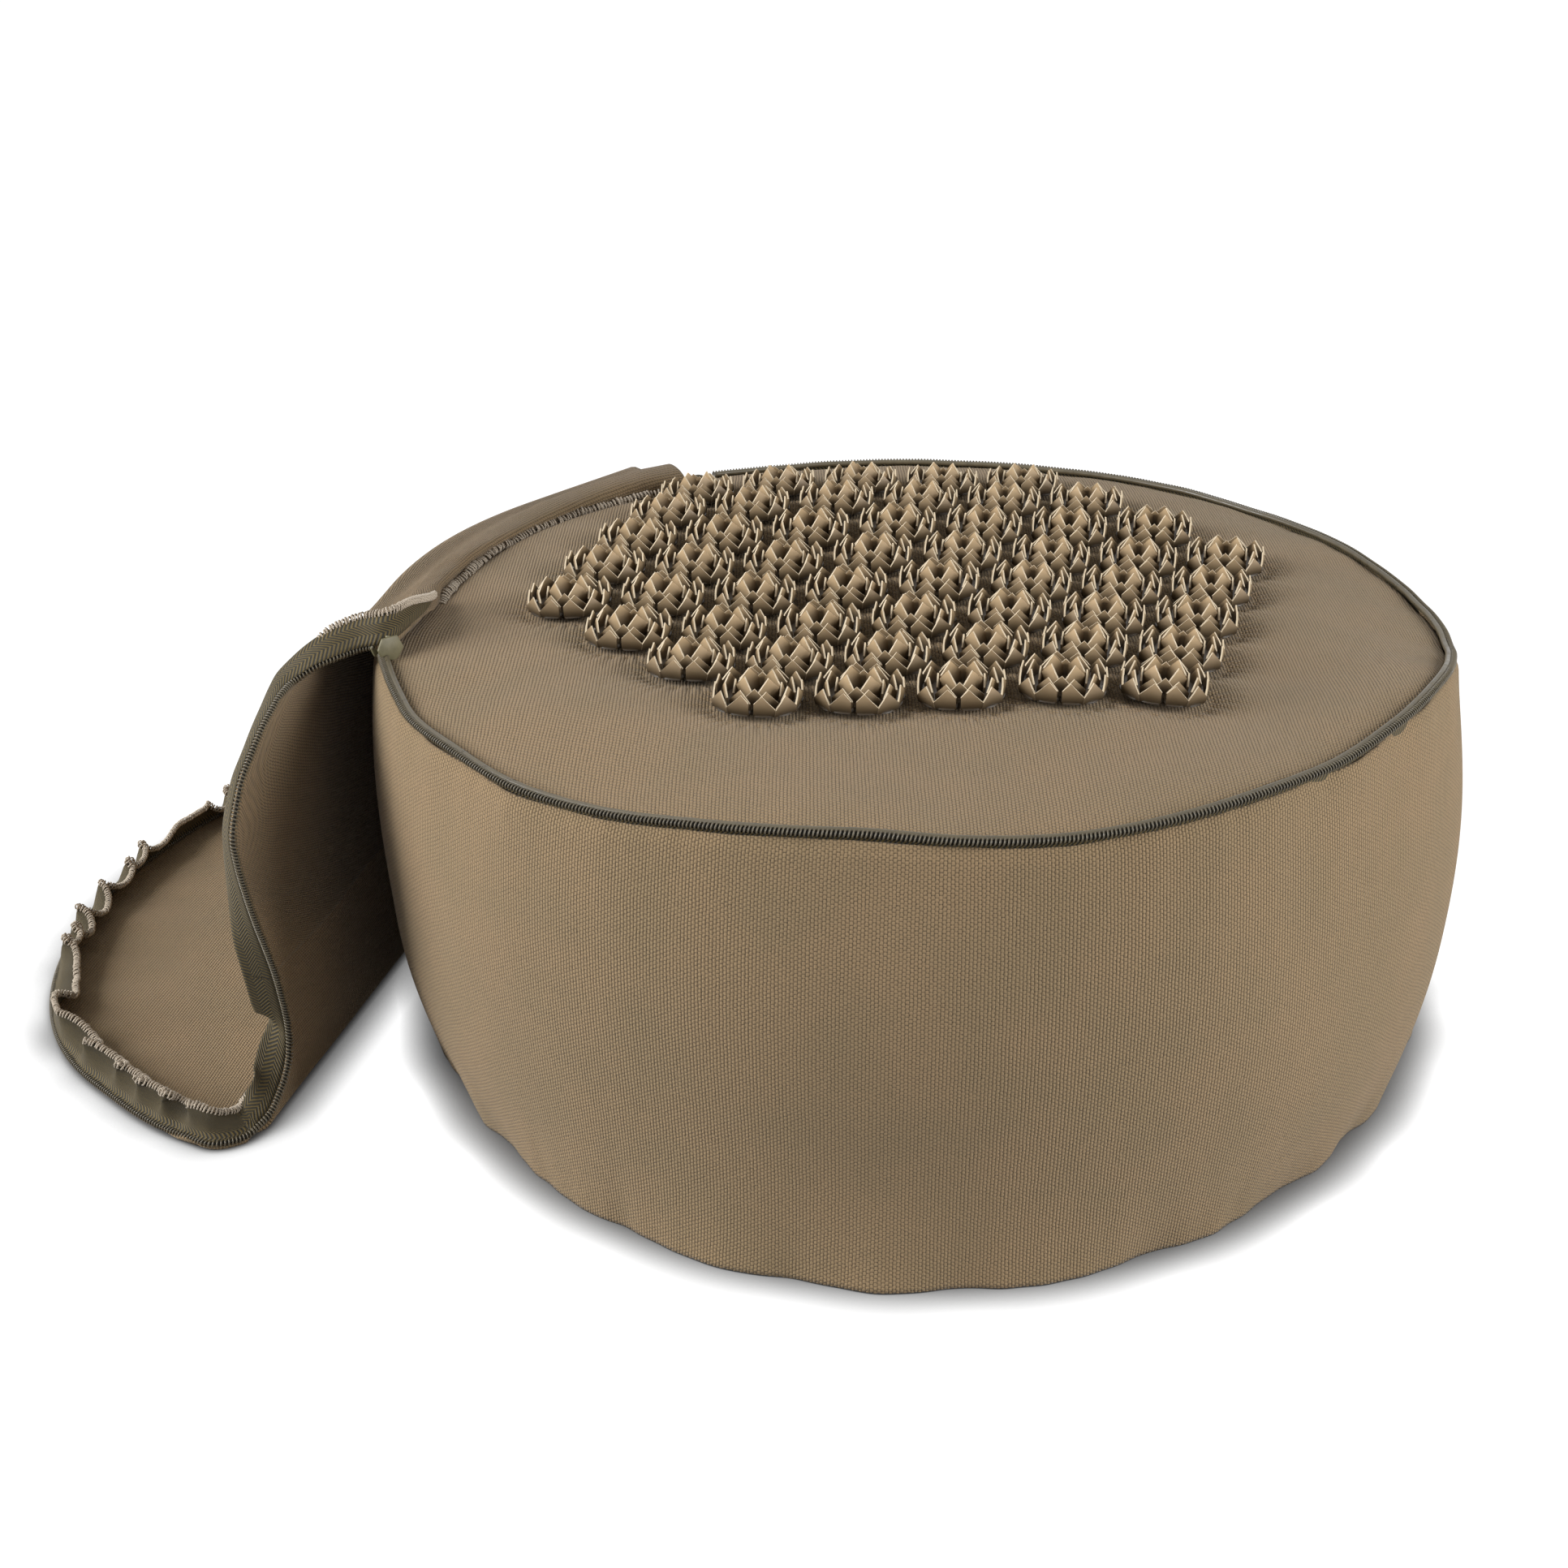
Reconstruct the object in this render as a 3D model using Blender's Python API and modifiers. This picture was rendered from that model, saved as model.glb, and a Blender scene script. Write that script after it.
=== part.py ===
"""Acupressure floor cushion: a round hull-filled cushion with a zip-off lid.

The cushion stands on z = 0 with its axis on +Z. The camera side is -Y and the lid hangs on the -X side.
The lid is unzipped, folded over the rim, hung down the side and laid on the floor. All sizes are in metres.
Azimuths are in degrees from +X, counter-clockwise seen from above.
"""

import math

import bmesh
import bpy
import numpy as np
from mathutils import Matrix, Vector

# Cushion body
RIM_RADIUS = 0.202  # the zip's centre line
RIM_HEIGHT = 0.168
FABRIC = 0.0016  # one layer of the cover
SIDE_SWELL = 0.0079  # how far the filled side stands out past a straight one
SIDE_SWELL_BIAS = 1.15  # above 1 lifts the fullest height
BASE_INSET = 0.0015  # the bottom edge inside the zip's centre line
BASE_LOBE = 0.0085  # the bottom edge wanders in and out by this much
BASE_LOBES = 3
BASE_LOBE_AZIMUTH = 262.0
BASE_LOBE_HEIGHT = 0.060
FABRIC_GAP = 0.0004  # between two layers that lie on each other
BAND_BELOW_COIL = 0.0033  # from the coil's underside down to the side band's top edge
BAND_BEHIND_TAPE = 0.0005

# Top panel
PANEL_CROWN = 0.0125
PANEL_FULLNESS = 4.0  # how flat the crown stays before it falls to the rim
PANEL_DROP = 0.0039  # how far the panel's edge lies below the zip's centre line
PANEL_WAVE = 0.0018
PANEL_WAVE_LENGTH = 0.150
PANEL_WAVE_START = 0.014
PANEL_WAVE_SLANT = 0.35
PANEL_ROLL = 0.006  # the width over which the panel's edge rolls down to its seam

# Zip
COIL_DIAMETER = 0.003
TAPE = 0.0008
TAPE_FOOT = 0.0095  # how far the tape's lower edge lies below the zip's centre line
STITCH_GAP = 0.0003  # between the coil or the thread and the tape that carries it
TAB_HEIGHT = 0.0048  # the lid tape's stitched end, behind the slider
TAB_OUT = 0.0013
TAB_LENGTH = 0.0039
TAB_BEHIND_SLIDER = 0.0006
ROLLED_END_RISE = 0.0085  # the folded cloth at the far end of the zip
ROLLED_END_AFTER = 1.0  # azimuth between the zip's end and the folded cloth
ROLLED_END_SPAN = 2.4
ROLLED_END_INSET = 0.004
ROLLED_END_WIDTH = 0.007
ROLLED_END_FULLNESS = 0.7  # 1 is a plain arch, and less is squarer
RIM_OVERLOCK = 0.0016
ZIP_START = 190.0
ZIP_SPAN = 285.0
SLIDER_LENGTH = 0.0105
SLIDER_PLATE = 0.0012
SLIDER_CLEARANCE = 0.0005
SLIDER_LIP = 0.001
SLIDER_WEDGE = 0.0012
POST_BEHIND = 0.6  # the post between the slider's lanes, in shares of half its length
POST_AHEAD = 0.9
BRIDGE_WIRE = 0.0014
BRIDGE_ABOVE_COIL = 0.002
BRIDGE_STAND = 0.0031  # from the outer plate to the middle of the bridge bar
BRIDGE_LENGTH = 0.0074
PULL_LENGTH = 0.0235
PULL_WIDTH = 0.0050
PULL_THICKNESS = 0.0012
PULL_EYE_CLEARANCE = 0.00045
PULL_EYE_WALL = 0.0008

# Lid
LID_THICKNESS = 0.0024
LID_CLEARANCE = 0.0053  # between the hanging lid and the fullest part of the side
FRONT_TANGENT = 166.9  # the lid hangs straight on both sides of the arc between these azimuths
BACK_TANGENT = 140.0
CREASE_GAP = 0.0004
CREASE_OUT = 0.020  # the crease axis stands this far out from the line between the crease's two ends
LID_FOOT = 0.0004
TOE_REACH = 0.148
TOE_FULLNESS = 2.3  # 2 is an ellipse, and more is squarer
TOE_FRONT_BULGE = 0.013
TOE_BULGE_LENGTH = 0.020
TOE_BULGE_TURN = 0.70  # 1 brings the bulge back to nothing at the outer edge
TOE_END = 0.003
SEAM_ALLOWANCE = 0.012  # from the zip's centre line in to the overlocked edge under the fold
FOLD_START_GAP = 3.0  # azimuth between the zip's start and the fold
FOLD_END_AZIMUTH = 7.4  # azimuth between the zip's end and the fold
FOLD_RISE = 0.021
FOLD_BEHIND = 0.003
FOLD_SHOULDER = 0.011
FOLD_END_GAP = 0.0005
LIFT_AZIMUTH = 153.5
LIFT_INSET = 0.021  # the lift axis inside the zip's centre line
LIFT_HEIGHT = 0.004  # the lift axis above the zip's centre line
LID_TAPE_WIDTH = 0.0085
COIL_BELOW_TAPE = 0.0014  # on the floor, the coil's centre line under the middle of its tape
OVERLOCK = 0.0020
THREAD_GAP = 0.0011  # between the tape and the thread along its edge

# The lid's front edge: share of the drop's height, and how far the edge is set back there.
FRONT_EDGE = (
    (0.0, 0.000), (0.15, 0.029), (0.33, 0.023), (0.52, 0.012), (0.74, 0.002),
    (0.87, 0.020), (0.93, 0.036), (1.0, 0.085),
)
# The same for its back edge, in shares of the setback at the top.
BACK_EDGE = ((0.0, 0.0), (0.36, 0.03), (0.60, 0.10), (0.75, 0.28), (0.90, 0.79), (1.0, 1.0))

# Lotus discs
DISC_RADIUS = 0.01585
DISC_GAP = 0.0007
OUTER_TIP = 0.0080
OUTER_VALLEY = 0.0050
INNER_TIP = 0.0104
INNER_RADIUS = 0.0068
INNER_VALLEY = 0.0060
VALLEY_INSET = 0.0006
FOOT_INSET = 0.0008
DISC_HOLLOW = 0.0030
OUTER_PETALS = 12
INNER_PETALS = 4
FIRST_DISC = Vector((-0.0623, -0.1056))
COLUMN_STEP = Vector((0.03555, 0.00228))
ROW_STEP = Vector((0.01115, 0.03605))
ROW_COLUMNS = ((0, 4), (-1, 4), (-2, 4), (-3, 4), (-3, 4), (-3, 3), (-3, 2), (-3, 1))
WEB_WIDTH = 0.003
WEB_HEIGHT = 0.0008
WEB_BITE = 0.0012  # how far a web runs into each disc

# Inner parts
BINDING_WIDTH = 0.0034
BINDING_HEIGHT = 0.0024
LINER = 0.0012
LINER_GAP = 0.0006
HEAP_GAP = 0.0024  # between the hulls and the spike panel, at the places where its height is taken

TURN_STEPS = 72  # sides of a full turn on the rim
INNER_STEPS = 36
BAND_STEPS = 5

# Derived sizes
BASE_RADIUS = RIM_RADIUS - BASE_INSET
PANEL_RADIUS = RIM_RADIUS - TAPE / 2 - FABRIC_GAP
PANEL_TOP = RIM_HEIGHT - PANEL_DROP
BAND_TOP_RADIUS = RIM_RADIUS + TAPE / 2 + BAND_BEHIND_TAPE + FABRIC
BAND_TOP = RIM_HEIGHT - COIL_DIAMETER / 2 - BAND_BELOW_COIL
FULLEST_RADIUS = max((BASE_RADIUS + BAND_TOP_RADIUS) / 2 + SIDE_SWELL, BASE_RADIUS, BAND_TOP_RADIUS)
TAPE_TOP = RIM_HEIGHT - COIL_DIAMETER / 2 - STITCH_GAP
TAPE_LOW = RIM_HEIGHT - TAPE_FOOT
ZIP_END = ZIP_START + ZIP_SPAN
WRAP_RADIUS = FULLEST_RADIUS + LID_CLEARANCE + LID_THICKNESS / 2
LID_DIAMETER = 2 * RIM_RADIUS
FOLD_FRONT = FRONT_EDGE[-1][1] + FOLD_END_GAP
FRONT_RUN = FOLD_FRONT + WRAP_RADIUS * math.tan(math.radians(ZIP_START - FOLD_START_GAP - FRONT_TANGENT))
ARC_RUN = math.radians(FRONT_TANGENT - BACK_TANGENT) * WRAP_RADIUS
FOLD_END = ZIP_END - 360.0 + FOLD_END_AZIMUTH
FOLD_BACK = FRONT_RUN + ARC_RUN + WRAP_RADIUS * math.tan(math.radians(BACK_TANGENT - FOLD_END))
SEAM_RADIUS = RIM_RADIUS - SEAM_ALLOWANCE


def clear_scene():
    for item in list(bpy.data.objects):
        bpy.data.objects.remove(item, do_unlink=True)


def new_collection(name):
    collection = bpy.data.collections.new(name)
    bpy.context.scene.collection.children.link(collection)
    return collection


clear_scene()
PARTS = new_collection("acupressure_floor_cushion")
CUTTERS = new_collection("cutters")


def material(name, colour, roughness, metallic=0.0):
    made = bpy.data.materials.new(name)
    made.use_nodes = True
    shader = made.node_tree.nodes["Principled BSDF"]
    shader.inputs["Base Color"].default_value = (*colour, 1.0)
    shader.inputs["Roughness"].default_value = roughness
    shader.inputs["Metallic"].default_value = metallic
    return made


def add_object(name, data, colour, roughness=0.9, metallic=0.0, home=PARTS):
    """A new object with its own material, in the parts or the cutters."""
    made = bpy.data.objects.new(name, data)
    home.objects.link(made)
    data.materials.append(material(name, colour, roughness, metallic))
    if home is CUTTERS:
        made.hide_render = True
        made.display_type = "WIRE"
    return made


def mesh_of(name, bm):
    mesh = bpy.data.meshes.new(name)
    bmesh.ops.recalc_face_normals(bm, faces=bm.faces)
    bm.to_mesh(mesh)
    bm.free()
    return mesh


CANVAS = (0.31, 0.25, 0.16)
COTTON = (0.60, 0.54, 0.43)
TAPE_OLIVE = (0.16, 0.14, 0.08)
COIL_GREY = (0.09, 0.08, 0.06)
THREAD = (0.62, 0.53, 0.43)
PLASTIC = (0.40, 0.26, 0.11)
OLIVE_METAL = (0.115, 0.105, 0.032)
HULLS = (0.05, 0.035, 0.02)


def polar(azimuth, radius, z=0.0):
    angle = math.radians(azimuth)
    return Vector((radius * math.cos(angle), radius * math.sin(angle), z))


def sheet(name, place, columns, rows, thickness, colour, weld=False):
    """A cloth sheet: a grid primitive laid on place(s, t), s and t from 0 to 1, then thickened both ways."""
    bm = bmesh.new()
    bmesh.ops.create_grid(bm, x_segments=columns, y_segments=rows, size=0.5)
    for vertex in bm.verts:
        vertex.co = place(vertex.co.x + 0.5, vertex.co.y + 0.5)
    if weld:
        bmesh.ops.remove_doubles(bm, verts=bm.verts, dist=0.00001)
    made = add_object(name, mesh_of(name, bm), colour)
    solidify = made.modifiers.new("thickness", "SOLIDIFY")
    solidify.thickness = thickness
    solidify.offset = 0.0
    return made


def tube(name, points, diameter, colour, roughness=0.8, sides_step=1):
    """A round cord through the points, as a POLY curve with filled caps."""
    curve = bpy.data.curves.new(name, "CURVE")
    curve.dimensions = "3D"
    curve.bevel_depth = diameter / 2
    curve.bevel_resolution = sides_step
    curve.use_fill_caps = True
    spline = curve.splines.new("POLY")
    spline.points.add(len(points) - 1)
    for point, at in zip(spline.points, points):
        point.co = (*at, 1.0)
    return add_object(name, curve, colour, roughness)


def box(bm, low, high):
    """A cube primitive stretched between two corners."""
    low, high = Vector(low), Vector(high)
    fit = Matrix.Translation((low + high) / 2) @ Matrix.Diagonal((*(high - low), 1.0))
    bmesh.ops.create_cube(bm, size=1.0, matrix=fit)


def boxes(name, corners, colour, roughness, metallic, home=PARTS):
    bm = bmesh.new()
    for low, high in corners:
        box(bm, low, high)
    return add_object(name, mesh_of(name, bm), colour, roughness, metallic, home)


def join(target, cutter):
    union = target.modifiers.new("join", "BOOLEAN")
    union.operation = "UNION"
    union.solver = "EXACT"
    union.object = cutter


def side_radius(azimuth, z):
    """The outer face of the side: swelling between its top and bottom edges, with a wandering bottom edge."""
    share = min(max(z / BAND_TOP, 0.0), 1.0)
    straight = BASE_RADIUS + (BAND_TOP_RADIUS - BASE_RADIUS) * share
    swell = SIDE_SWELL * math.sin(math.pi * share**SIDE_SWELL_BIAS)
    fade = max(0.0, 1.0 - z / BASE_LOBE_HEIGHT) ** 2
    lobe = BASE_LOBE * math.cos(math.radians(BASE_LOBES * (azimuth - BASE_LOBE_AZIMUTH)))
    return straight + swell + lobe * fade


def band_rows():
    return [FABRIC_GAP + (BAND_TOP - FABRIC_GAP) * i / BAND_STEPS for i in range(BAND_STEPS + 1)]


def band_face(azimuth, z):
    """The side's outer face as the band's straight steps make it."""
    rows = band_rows()
    return float(np.interp(z, rows, [side_radius(azimuth, row) for row in rows]))


def panel_height(x, y):
    """The top face of the spike panel: a low crown with a soft slanting ridge, rolled down at its edge."""
    radius = math.hypot(x, y)
    share = min(radius / PANEL_RADIUS, 1.0)
    phase = (x - PANEL_WAVE_START + PANEL_WAVE_SLANT * y) / PANEL_WAVE_LENGTH
    wave = PANEL_WAVE * math.cos(2 * math.pi * phase) * (1.0 - share**2)
    return PANEL_TOP + PANEL_CROWN * (1.0 - share**PANEL_FULLNESS) + wave


def add_cover():
    """Bottom panel and side band of the outer cover."""
    def bottom(s, t):
        azimuth = 360.0 * s
        reach = side_radius(azimuth, 0.0) - FABRIC - FABRIC_GAP
        return polar(azimuth, reach * t, FABRIC / 2)

    def band(s, t):
        azimuth = 360.0 * s
        z = band_rows()[round(t * BAND_STEPS)]
        return polar(azimuth, side_radius(azimuth, z) - FABRIC / 2, z)

    sheet("outer_bottom_panel", bottom, INNER_STEPS, 2, FABRIC, CANVAS, weld=True)
    sheet("outer_side_band", band, TURN_STEPS, BAND_STEPS, FABRIC, CANVAS, weld=True)


def add_seam_bindings():
    """The bound seam allowances inside the cover, at its bottom edge and under the panel's edge."""
    foot = FABRIC + FABRIC_GAP

    def ring(name, outer, low, height):
        def face(s, t):
            azimuth = 360.0 * s
            return polar(azimuth, outer(azimuth) - BINDING_WIDTH * t, low + height / 2)

        sheet(name, face, INNER_STEPS, 1, height, COTTON, weld=True)

    ring(
        "bottom_seam_binding",
        lambda azimuth: side_radius(azimuth, 0.0) - FABRIC - 2 * FABRIC_GAP,
        foot,
        BINDING_HEIGHT,
    )
    under_panel = PANEL_TOP - PANEL_ROLL - 2 * FABRIC - BINDING_HEIGHT + FABRIC
    ring("panel_seam_binding", lambda azimuth: PANEL_RADIUS - FABRIC_GAP, under_panel, BINDING_HEIGHT)


def liner_face(azimuth, z, inset=0.0):
    """The middle of the liner's wall, or a surface further in."""
    return polar(azimuth, band_face(azimuth, z) - FABRIC - LINER_GAP - LINER / 2 - inset, z)


def add_filling():
    """The inner liner, a cup of thin cotton, and the hulls that fill it up to the spike panel."""
    floor = FABRIC + FABRIC_GAP + LINER / 2
    top = PANEL_TOP - PANEL_ROLL - FABRIC - 2 * BINDING_HEIGHT - LINER
    corner = BINDING_WIDTH + BINDING_HEIGHT + LINER
    heights = [*band_rows()[1:-1], top]

    def floor_reach(azimuth):
        return side_radius(azimuth, 0.0) - FABRIC - corner

    floor_rings = 2
    rings = floor_rings + len(heights)

    def cup(s, t):
        azimuth = 360.0 * s
        ring = round(t * rings)
        if ring <= floor_rings:
            return polar(azimuth, floor_reach(azimuth) * ring / floor_rings, floor)
        return liner_face(azimuth, heights[ring - floor_rings - 1])

    sheet("inner_liner", cup, INNER_STEPS, rings, LINER, COTTON, weld=True)

    inset = LINER / 2 + LINER_GAP
    low = floor + inset
    under = FABRIC + HEAP_GAP
    shoulder = PANEL_RADIUS - BINDING_WIDTH - 2 * PANEL_ROLL

    def heap(azimuth, ring):
        """The filling's skin, ring by ring from the middle of its bottom to the middle of its top."""
        if ring == 1:
            return polar(azimuth, floor_reach(azimuth) - 3 * inset, low)
        if ring <= 1 + len(heights):
            return liner_face(azimuth, heights[ring - 2], 2 * inset)
        spot = polar(azimuth, shoulder * (1.0 if ring == 2 + len(heights) else 0.5))
        spot.z = panel_height(spot.x, spot.y) - under
        return spot

    last = 4 + len(heights)
    bm = bmesh.new()
    bmesh.ops.create_uvsphere(bm, u_segments=INNER_STEPS, v_segments=last, radius=1.0)
    for vertex in bm.verts:
        azimuth = math.degrees(math.atan2(vertex.co.y, vertex.co.x))
        ring = round(last * math.acos(max(-1.0, min(1.0, -vertex.co.z))) / math.pi)
        if ring == 0:
            vertex.co = Vector((0.0, 0.0, low))
        elif ring == last:
            vertex.co = Vector((0.0, 0.0, panel_height(0.0, 0.0) - under))
        else:
            vertex.co = heap(azimuth, ring)
    add_object("hull_filling", mesh_of("hull_filling", bm), HULLS)


def add_panel():
    rows = 7

    def top(s, t):
        azimuth = 360.0 * s
        flat_share = (rows - 1) / rows
        if t <= flat_share + 0.001:
            radius = (PANEL_RADIUS - PANEL_ROLL) * t / flat_share
            spot = polar(azimuth, radius)
            return Vector((spot.x, spot.y, panel_height(spot.x, spot.y) - FABRIC / 2))
        return polar(azimuth, PANEL_RADIUS - FABRIC / 2, PANEL_TOP - PANEL_ROLL)

    sheet("spike_panel", top, TURN_STEPS, rows, FABRIC, CANVAS, weld=True)


def disc_places():
    """The discs of each row, left to right: those of the pattern that the panel has room for."""
    for row, (first, last) in enumerate(ROW_COLUMNS):
        spots = [FIRST_DISC + COLUMN_STEP * column + ROW_STEP * row for column in range(first, last + 1)]
        yield [spot for spot in spots if spot.length + DISC_RADIUS < PANEL_RADIUS - PANEL_ROLL]


def seat(spot):
    """Where a disc stands on the panel: square to the cloth under it."""
    reach = DISC_RADIUS

    def height(dx, dy):
        return panel_height(spot.x + dx, spot.y + dy)

    slope_x = (height(reach, 0) - height(-reach, 0)) / (2 * reach)
    slope_y = (height(0, reach) - height(0, -reach)) / (2 * reach)
    normal = Vector((-slope_x, -slope_y, 1.0)).normalized()
    around = [(reach * math.cos(a), reach * math.sin(a)) for a in np.linspace(0, 2 * math.pi, 12)]
    rise = max(height(dx, dy) - slope_x * dx - slope_y * dy for dx, dy in [(0, 0), *around])
    turn = Vector((0, 0, 1)).rotation_difference(normal).to_matrix().to_4x4()
    return Matrix.Translation((spot.x, spot.y, rise + DISC_GAP)) @ turn


def add_lotus(bm, place):
    """One lotus disc: a crown of outer petal tips round four inner ones and a hollow."""

    def circle(count, shape):
        loop = bmesh.ops.create_circle(bm, segments=count, radius=1.0)["verts"]
        for index, vertex in enumerate(sorted(loop, key=lambda v: math.atan2(v.co.y, v.co.x))):
            radius, z, turn = shape(index)
            angle = 2 * math.pi * index / count + turn
            vertex.co = place @ Vector((radius * math.cos(angle), radius * math.sin(angle), z))
        return {edge for vertex in loop for edge in vertex.link_edges}

    def petals(radius, tip, valley, turn):
        """A zigzag: a petal's tip at each odd corner and a valley at each even one."""
        corners = ((radius - VALLEY_INSET, valley, turn), (radius, tip, turn))
        return lambda index: corners[index % 2]

    tooth = math.pi / (2 * OUTER_PETALS)
    foot = circle(OUTER_PETALS, lambda index: (DISC_RADIUS - FOOT_INSET, 0.0, 0.0))
    crown = circle(2 * OUTER_PETALS, petals(DISC_RADIUS, OUTER_TIP, OUTER_VALLEY, tooth))
    bud = circle(2 * INNER_PETALS, petals(INNER_RADIUS, INNER_TIP, INNER_VALLEY, 0.0))
    bmesh.ops.bridge_loops(bm, edges=list(foot | crown))
    bmesh.ops.bridge_loops(bm, edges=list(crown | bud))
    bmesh.ops.contextual_create(bm, geom=list(foot))
    floor = bmesh.ops.contextual_create(bm, geom=list(bud))["faces"]
    middle = bmesh.ops.poke(bm, faces=floor)["verts"][0]
    middle.co = place @ Vector((0.0, 0.0, DISC_HOLLOW))


def add_spike_rows():
    """Rows of discs. Low webs moulded between the discs keep each row in one piece."""
    for number, spots in enumerate(disc_places(), start=1):
        bm = bmesh.new()
        for spot in spots:
            add_lotus(bm, seat(spot))
        row = add_object(f"spike_row_{number}", mesh_of(f"spike_row_{number}", bm), PLASTIC, 0.45)
        if len(spots) < 2:
            continue
        webs = bmesh.new()
        for left, right in zip(spots, spots[1:]):
            start, end = seat(left), seat(right)
            along = (right - left).normalized()
            reach = DISC_RADIUS - FOOT_INSET - WEB_BITE
            near = start @ Vector((along.x * reach, along.y * reach, WEB_HEIGHT))
            far = end @ Vector((-along.x * reach, -along.y * reach, WEB_HEIGHT))
            run = far - near
            facing = run.to_track_quat("X", "Z").to_matrix().to_4x4()
            size = Matrix.Diagonal((run.length, WEB_WIDTH, WEB_HEIGHT, 1.0))
            bmesh.ops.create_cube(webs, size=1.0, matrix=Matrix.Translation((near + far) / 2) @ facing @ size)
        cutter_name = f"spike_row_{number}_webs"
        join(row, add_object(cutter_name, mesh_of(cutter_name, webs), PLASTIC, home=CUTTERS))


def rim_angle(length):
    """The azimuth that a length along the rim takes up."""
    return math.degrees(length / RIM_RADIUS)


def rim_steps(start, end):
    """Azimuths at the rim's own corners between two azimuths, with the two ends."""
    step = 360.0 / TURN_STEPS
    inside = [step * i for i in range(math.ceil(start / step), math.floor(end / step) + 1)]
    return sorted({start, *inside, end})


def add_rim_zip():
    """The body's half of the zip: tape standing in the rim seam, coil on its top, overlocked bottom edge."""
    turns = rim_steps(ZIP_START - rim_angle(TAB_LENGTH), ZIP_END)

    def tape(s, t):
        azimuth = turns[round(s * (len(turns) - 1))]
        return polar(azimuth, RIM_RADIUS, TAPE_LOW + (TAPE_TOP - TAPE_LOW) * t)

    sheet("rim_zip_tape", tape, len(turns) - 1, 1, TAPE, TAPE_OLIVE)
    tube("rim_zip_coil", [polar(a, RIM_RADIUS, RIM_HEIGHT) for a in turns], COIL_DIAMETER, COIL_GREY)
    lower = TAPE_LOW - 2 * STITCH_GAP - RIM_OVERLOCK / 2
    coarse = turns[::2] if len(turns) % 2 else [*turns[::2], turns[-1]]
    thread = [polar(a, RIM_RADIUS, lower) for a in coarse]
    tube("rim_tape_overlock", thread, RIM_OVERLOCK, THREAD, sides_step=0)


def add_tape_ends():
    """The folded and stitched tape ends at the two ends of the zip."""
    start = ZIP_START - rim_angle(SLIDER_LENGTH / 2 + TAB_BEHIND_SLIDER)
    span = rim_angle(TAB_LENGTH)

    def lid_end(s, t):
        height = BAND_TOP + FABRIC_GAP + TAB_HEIGHT * t
        return polar(start - span * s, RIM_RADIUS + TAB_OUT, height)

    foot = BAND_TOP + FABRIC_GAP + STITCH_GAP

    def rim_end(s, t):
        azimuth = ZIP_END + ROLLED_END_AFTER + ROLLED_END_SPAN * s
        radius = RIM_RADIUS - ROLLED_END_INSET + ROLLED_END_WIDTH * t
        arch = max(math.sin(math.pi * s), 0.0) ** ROLLED_END_FULLNESS
        return polar(azimuth, radius, foot + ROLLED_END_RISE * arch)

    sheet("lid_tape_end", lid_end, 2, 1, TAPE, TAPE_OLIVE)
    sheet("rim_tape_end", rim_end, 8, 1, FABRIC, TAPE_OLIVE)


def joint_axis(name, place, pieces):
    """An empty on a joint's axis, which carries the pieces that turn about it."""
    empty = bpy.data.objects.new(name, None)
    empty.location = place
    empty.empty_display_size = 0.02
    PARTS.objects.link(empty)
    for piece in pieces:
        piece.parent = empty
        piece.matrix_parent_inverse = Matrix.Translation(-Vector(place))


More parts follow.
